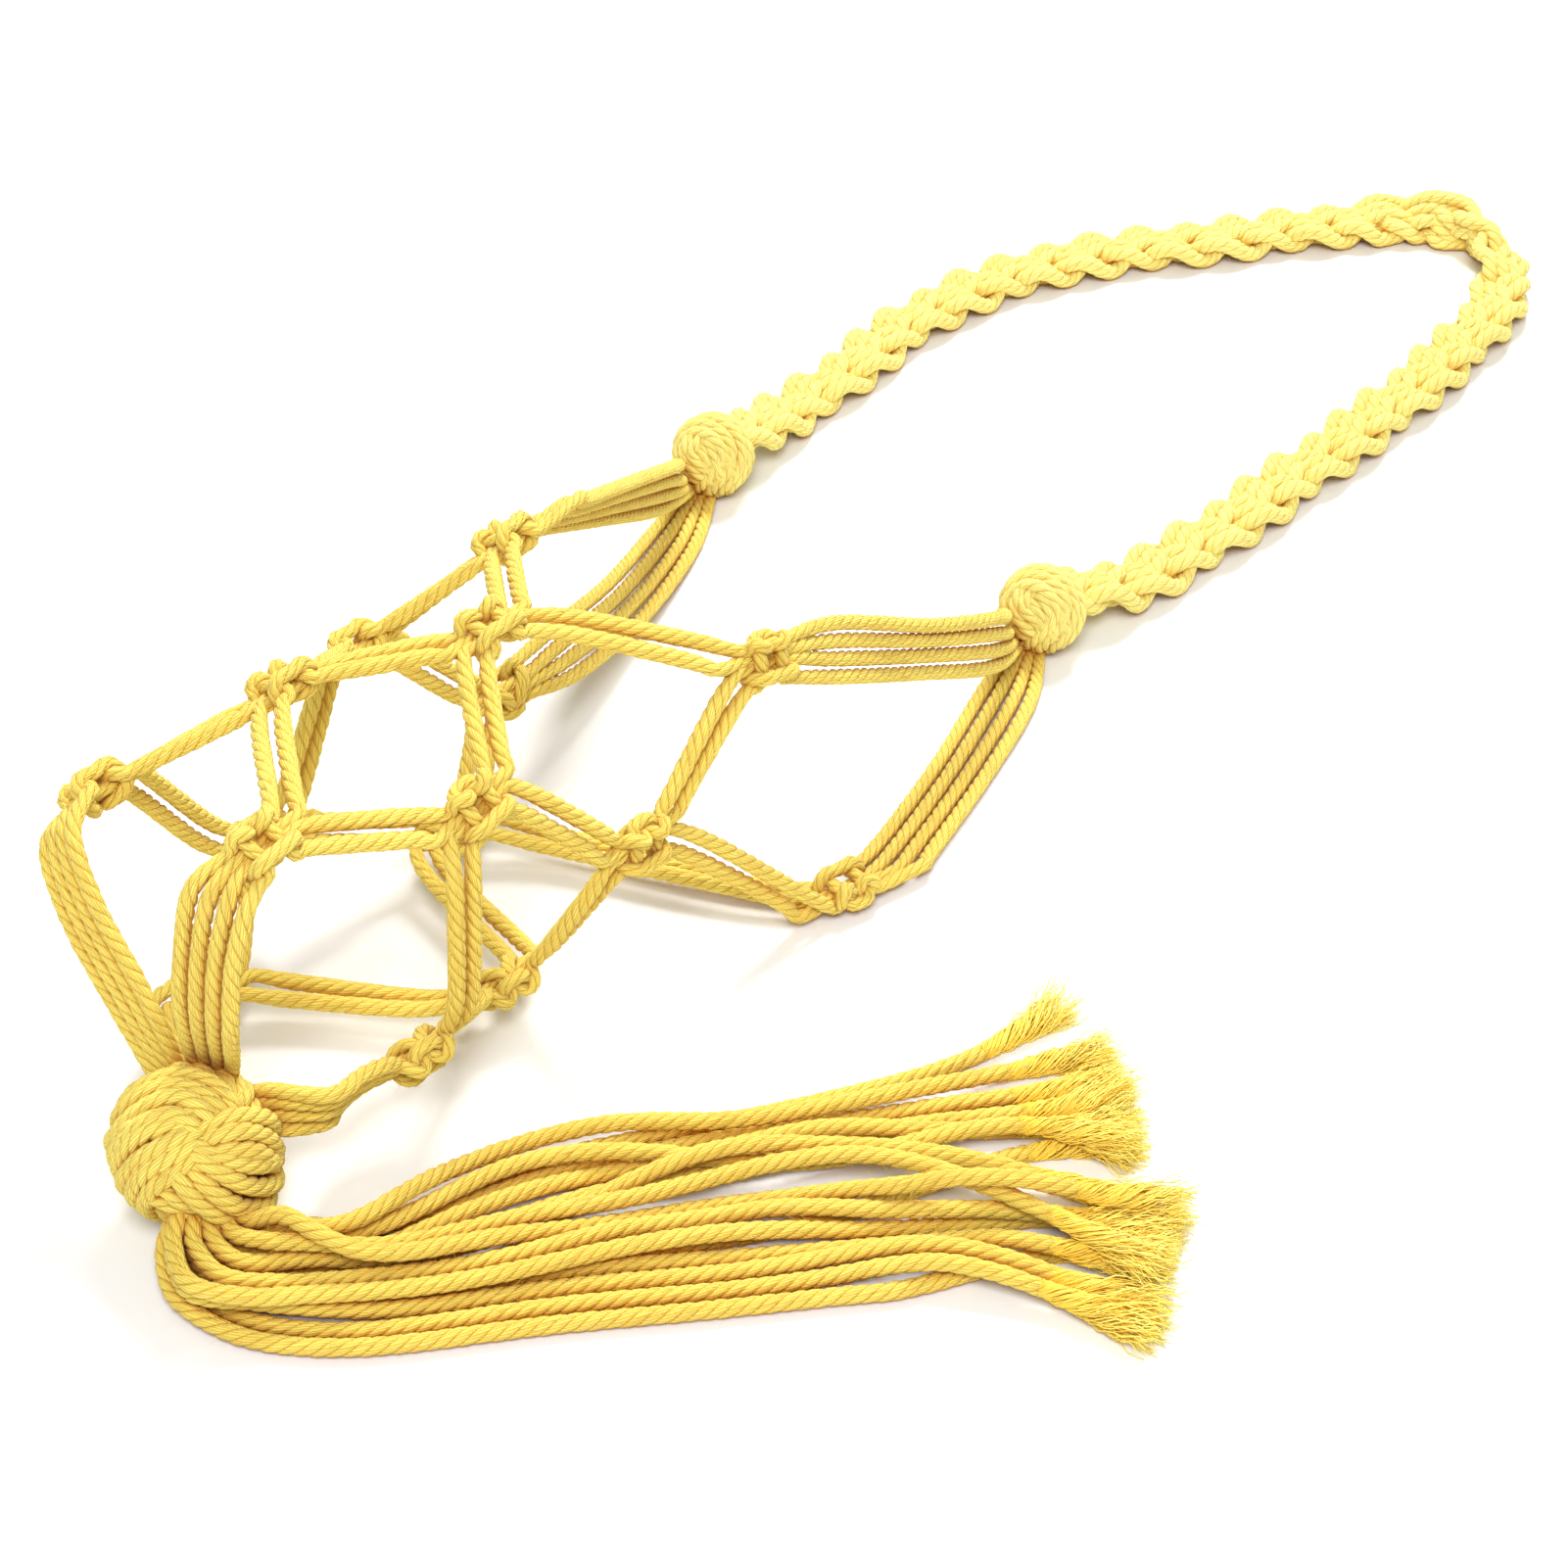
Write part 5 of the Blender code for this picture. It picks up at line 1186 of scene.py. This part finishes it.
def wound_knot(name, centre, radius, cord_radius, families, material):
    """A knot of wrapped cords, which lie on and under each other round a core."""
    for n, (points, offsets, closeness) in enumerate(families):
        line = smooth_route(np.array(points), WRAP_SECTIONS)
        ways = units(line[:, :3])
        across = units(np.cross(ways, np.gradient(ways, axis=0)))
        opened = np.clip(np.linspace(0, 1 / OPENED_share, len(line)), 0, 1)
        opened = closeness + (1 - closeness) * opened
        turns = np.linspace(0, WRAP_WAVES, len(line))
        for k, offset in enumerate(offsets):
            stray = WRAP_STRAY * np.sin(turns + random.uniform(0, PHASES))
            rows = units(ways + across * (offset * opened + stray)[:, None])
            ripple = WRAP_RIPPLE_share * np.sin(RIPPLE_WAVES * turns + random.uniform(0, PHASES))
            reach = (radius * (line[:, 3] + ripple) - cord_radius)[:, None]
            path = centre + (np.outer(rows[:, 0], view_right) + np.outer(rows[:, 1], view_up)
                             - np.outer(rows[:, 2], view_ahead)) * reach
            path[:, 2] = np.maximum(path[:, 2], cord_radius)
            radii = np.full(len(path), cord_radius * random.uniform(*WRAP_RADIUS_shares))
            piece, drawn = rope(f"{name}_wrap_{n + 1}{k + 1}", path[::2], radii[::2],
                                FAMILY_SEED + FAMILY_SEEDS * n + k, material, "net")
            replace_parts(piece, name)
            add_fuzz("net", drawn, cord_radius)
    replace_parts(knot_core(name, centre, radius, material), name)


wound_knot("tassel_knot", tassel_centre + shift, TASSEL_KNOT_RADIUS, LARGE_WRAP_RADIUS,
           LARGE_KNOT_FAMILIES_shares, knot_cotton)
for side, knot in (("front", "A"), ("back", "J")):
    wound_knot(f"side_knot_{side}", side_centre(knot) + shift, SIDE_KNOT_RADIUS, SIDE_WRAP_RADIUS,
               SIDE_KNOT_FAMILIES_shares, strap_cotton)


# Strap: eight cords in three strands

STRAND_CORDS = (3, 3, 2)
PLAIT_SWING = 0.0038            # of a strand's middle to each side
PLAIT_RISE = 0.0025
STRAP_CORD_RADIUS = 0.00240
STRAP_CORD_PITCH = 0.0036       # between two cords of one strand
PAIR_SPREAD_share = 1.1         # of that pitch, between the two cords of the third strand
PLAIT_LEVEL = 0.0050            # of the plait's middle above the floor, where it lies flat
STRAP_SLOPE_shares = (1, 1, 0.3)    # with which the strap leaves the side knots, less steep
STRAP_EXIT_share = 1.1          # of a side knot's radius, where it does
GATHER_LENGTH = 0.012           # in which the strands open out from a side knot
GATHER_share = 0.62             # how wide the plait is there
TURN_PLACE_share = 0.475        # where along the strap it turns over, and within what length
TURN_LENGTH_share = 0.16
TURN_LIFT = 0.0022              # by which it is higher where it stands on its edge
STRAP_CREASE_share = 0.15       # shallower, as the cords are pulled tight in the plait
PLAIT_SECTIONS = 24             # in one period
STRAP_SEED = 40


def smooth_step(x):
    x = np.clip(x, 0, 1)
    return x * x * (3 - 2 * x)


route = [np.array((SIDE_KNOT_REACH + x, y, PLAIT_LEVEL)) for x, y in STRAP_ROUTE]
starts = []
for centre, near in ((side_centre("A"), route[0]), (side_centre("J"), route[-1])):
    way = unit((near - centre) * STRAP_SLOPE_shares)
    starts += [centre + way * SIDE_KNOT_RADIUS * share for share in (KNOT_SINK_share, STRAP_EXIT_share)]
centre_line = even_route(starts[:2] + route + starts[:1:-1], CORD_DIAMETER / 4)
run = run_along(centre_line)
periods = round(run[-1] / PLAIT_PERIOD)
sections = np.linspace(0, run[-1], periods * PLAIT_SECTIONS + 1)
middle = read_at(sections, run, centre_line)
middle_ahead = units(np.gradient(middle, axis=0))
level_side = units(np.cross((0, 0, 1), middle_ahead))
level_up = np.cross(middle_ahead, level_side)
along = sections / run[-1]
turned = smooth_step((along - TURN_PLACE_share) / TURN_LENGTH_share + 0.5)
roll = math.pi * turned[:, None]
middle_side = level_side * np.cos(roll) + level_up * np.sin(roll)
middle_up = level_up * np.cos(roll) - level_side * np.sin(roll)
middle[:, 2] += TURN_LIFT * np.abs(np.sin(roll[:, 0]))
opened = np.minimum(sections, run[-1] - sections) / GATHER_LENGTH
opened = GATHER_share + (1 - GATHER_share) * smooth_step(opened)
number = 0
for strand, cords in enumerate(STRAND_CORDS):
    phase = 2 * math.pi * (strand / len(STRAND_CORDS) + along * periods)
    base = (middle + middle_side * (PLAIT_SWING * np.sin(phase) * opened)[:, None]
            + middle_up * (PLAIT_RISE * np.sin(2 * phase) * opened)[:, None])
    strand_ahead = units(np.gradient(base, axis=0))
    row = units(middle_side - strand_ahead * np.sum(middle_side * strand_ahead, axis=1)[:, None])
    for k in range(cords):
        number += 1
        off = (k - (cords - 1) / 2) * STRAP_CORD_PITCH * opened * (PAIR_SPREAD_share if cords == 2 else 1)
        path = base + row * off[:, None] + shift
        path[:, 2] = np.maximum(path[:, 2], STRAP_CORD_RADIUS)
        piece, line = rope(f"strap_rope_{number}", path, np.full(len(path), STRAP_CORD_RADIUS),
                           STRAP_SEED + number, strap_cotton, "strap", STRAP_CREASE_share)
        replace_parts(piece, f"strap_strand_{strand + 1}")
        line[::2].tolist() + [line[-1].tolist()]
        add_fuzz("strap", line, STRAP_CORD_RADIUS)


# Tassel

FRAY_LENGTH = 0.0175            # the open brush at a cord's end
FRAY_COVER = 0.0080             # in which the brush's yarns lie over the cord
THIN_END_shares = (0.55, 0.45)  # of the radius: what is left of a cord under its brush, and the rest
YARNS = 120                     # in each brush
YARN_RADIUS = 0.00022
YARN_RADIUS_shares = (0.7, 1.25)
YARN_POINTS = 15
YARN_FILL_shares = (0.05, 1.0)  # how far out in the cord yarns lie, as a share of its section
YARN_SPREAD_shares = (0.8, 2.9)     # how far they spread, as a share of how far out they lie
YARN_SPREAD_POWER = 1.8
YARN_UNEVEN = 0.0014            # in length
UNWIND_share = 0.5              # of its turn, which a yarn loses towards its end
YARN_WAVE = 0.00045             # how far a yarn's waves go at its end
YARN_WAVE_LENGTHS = (0.0055, 0.0071)
BRUSH_LEAN = 0.0008             # by which a whole brush leans to one side
YARN_CLEARANCE = 0.00005        # under them
EXIT_DEPTH = 0.007              # inside the large knot, where a tassel cord starts
EXIT_SQUEEZE_share = 0.30       # how much closer the cords are where they come out
EXIT_LENGTH = 0.030             # in which they open out
EXIT_STEP = 0.003               # between two points of such a cord's path
DRAWN_STEPS = 3                 # between two points that a drawn cord keeps
TASSEL_SEED = 60


def brush(name, line):
    """The open end of a cord: wavy yarns that go on in the lay and then spread out."""
    ahead, side, other = frames(line)
    at = run_along(line)
    lines = []
    lean = random.uniform(0, PHASES)
    for _ in range(YARNS):
        r = CORD_DIAMETER / 2 * math.sqrt(random.uniform(*YARN_FILL_shares))
        a = random.uniform(0, 2 * math.pi)
        spread = random.uniform(*YARN_SPREAD_shares)
        length = FRAY_LENGTH + FRAY_COVER + random.normal(0, YARN_UNEVEN)
        s = np.linspace(0, length, YARN_POINTS)
        t = s / length
        where = at[-1] - FRAY_LENGTH - FRAY_COVER + s
        spot = read_at(where, at, line)
        spot += ahead[-1] * np.maximum(where - at[-1], 0)[:, None]
        turn = a - 2 * math.pi * s / LAY * (1 - UNWIND_share * t)
        reach = r * (1 + spread * t ** YARN_SPREAD_POWER)
        start = random.uniform(0, PHASES)
        wave, bob = (YARN_WAVE * t * np.sin(2 * math.pi * s / waves + k * start)
                     for k, waves in enumerate(YARN_WAVE_LENGTHS, start=1))
        tilt = BRUSH_LEAN * t ** 2
        across = np.cos(turn) * reach + wave + tilt * math.cos(lean)
        upwards = np.sin(turn) * reach + bob + tilt * math.sin(lean)
        lines.append(spot + read_at(where, at, side) * across[:, None]
                     + read_at(where, at, other) * upwards[:, None])
    lines = np.array(lines)
    lines[..., 2] = np.maximum(lines[..., 2], YARN_RADIUS + YARN_CLEARANCE)
    radii = np.full(YARNS, YARN_RADIUS) * random.uniform(*YARN_RADIUS_shares, YARNS)
    return strands(name, lines, radii, random.uniform(0, 1, YARNS), fibre_cotton, "tassel")


def tassel_rope(number, path):
    """A drawn cord of the tassel on its path from the large knot, with its brush."""
    way = unit(path[1] - path[0])
    path = np.vstack((path[0] - way * EXIT_DEPTH, path))
    path = np.vstack((path[:1], even_route(path, EXIT_STEP)[1:]))
    gathered = 1 - EXIT_SQUEEZE_share * (1 - smooth_step(run_along(path) / EXIT_LENGTH))
    axis = unit(TASSEL_EXIT_shares)
    off = path - (tassel_centre + axis * TASSEL_KNOT_RADIUS)
    off -= np.outer(off @ axis, axis)
    path = path - off * (1 - gathered)[:, None] + shift
    whole, _, at = resample(path, np.zeros(len(path)), ROPE_STEP)
    keep = at < at[-1] - FRAY_LENGTH
    line = whole[keep]
    left = np.minimum((at[keep][-1] - at[keep]) / FRAY_COVER, 1)
    radii = CORD_DIAMETER / 2 * (THIN_END_shares[0] + THIN_END_shares[1] * smooth_step(left))
    piece, drawn = rope(f"tassel_rope_{number:02d}", line[::DRAWN_STEPS], radii[::DRAWN_STEPS],
                        TASSEL_SEED + number, tassel_cotton, "tassel")
    tip = brush(f"tassel_tip_{number:02d}", whole)
    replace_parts(piece, f"tassel_cord_{number:02d}")
    drawn[::2].tolist() + [drawn[-1].tolist()]
    add_fuzz("tassel", drawn, CORD_DIAMETER / 2)


for number, path in enumerate(lay_tassel(TASSEL_STEP, CORD_CLEARANCE), start=1):
    tassel_rope(number, path)

for body, slot in (("net", "net_cord"), ("strap", "strap_cord"), ("tassel", "tassel_cord")):
    lines = np.concatenate(fuzz_lines[body])
    strands(f"{body}_fuzz", lines, np.full(len(lines), FUZZ_RADIUS),
            random.uniform(0, 1, len(lines)), fibre_cotton, body)


# Floor, light

FLOOR_SIZE = 12
WHITE_FROM, ALL_WHITE_FROM = 0.45, 1.1      # distances from the middle of the floor
WORLD_LIGHT = 0.46              # strength of the world on the holder; where it is seen it is 1
# Name, place, what it points at, diameter and power of each lamp.
LAMPS = (
    ("key", (0.75, 0.45, 1.25), (0.05, 0, 0), 0.6, 26),
    ("fill", (-0.8, -0.6, 1.3), (-0.1, 0, 0), 0.7, 19),
)


def pale_floor(near, far):
    """A pale floor that keeps the shadows near the holder and is seen plain white far from it."""
    material, tree, shader = new_material("floor")
    set_inputs(shader, FLOOR_SURFACE)
    away = tree.nodes.new("ShaderNodeVectorMath")
    away.operation = "LENGTH"
    feed(tree, tree.nodes.new("ShaderNodeTexCoord").outputs["Object"], away.inputs[0])
    share = ((Field(tree, away.outputs["Value"]) - near) * (1 / (far - near))).clamped()
    seen = tree.nodes.new("ShaderNodeLightPath").outputs["Is Camera Ray"]
    white = tree.nodes.new("ShaderNodeEmission")
    set_inputs(white, {"Color": WHITE, "Strength": 1.0})
    both = tree.nodes.new("ShaderNodeMixShader")
    for value, socket in zip((share * seen, shader.outputs[0], white.outputs[0]), both.inputs):
        feed(tree, value, socket)
    feed(tree, both.outputs[0], tree.nodes["Material Output"].inputs["Surface"])
    return material


def area_light(name, place, target, size, power):
    data = bpy.data.lights.new(name, "AREA")
    data.shape = "DISK"
    data.size = size
    data.energy = power
    lamp = bpy.data.objects.new(name, data)
    bpy.context.scene.collection.objects.link(lamp)
    lamp.location = place
    way = Vector(target) - Vector(place)
    lamp.rotation_euler = way.to_track_quat("-Z", "Y").to_euler()


def white_world():
    """A world that is seen white and lights the holder less than that."""
    world = bpy.data.worlds.new("world")
    bpy.context.scene.world = world
    world.use_nodes = True
    tree = world.node_tree
    background = tree.nodes["Background"]
    background.inputs["Color"].default_value = WHITE
    rays = tree.nodes.new("ShaderNodeLightPath").outputs
    mirrored = Field(tree, rays["Is Glossy Ray"]).to("MAXIMUM", rays["Is Transmission Ray"])
    seen = Field(tree, rays["Is Camera Ray"]).to("MAXIMUM", mirrored)
    feed(tree, seen * (1 - WORLD_LIGHT) + WORLD_LIGHT, background.inputs["Strength"])


bpy.ops.mesh.primitive_plane_add(size=FLOOR_SIZE, location=(0, 0, 0))
floor = bpy.context.object
floor.name = "floor"
floor.data.materials.append(pale_floor(WHITE_FROM, ALL_WHITE_FROM))
for lamp in LAMPS:
    area_light(*lamp)
white_world()

bpy.context.scene.view_settings.view_transform = "Standard"
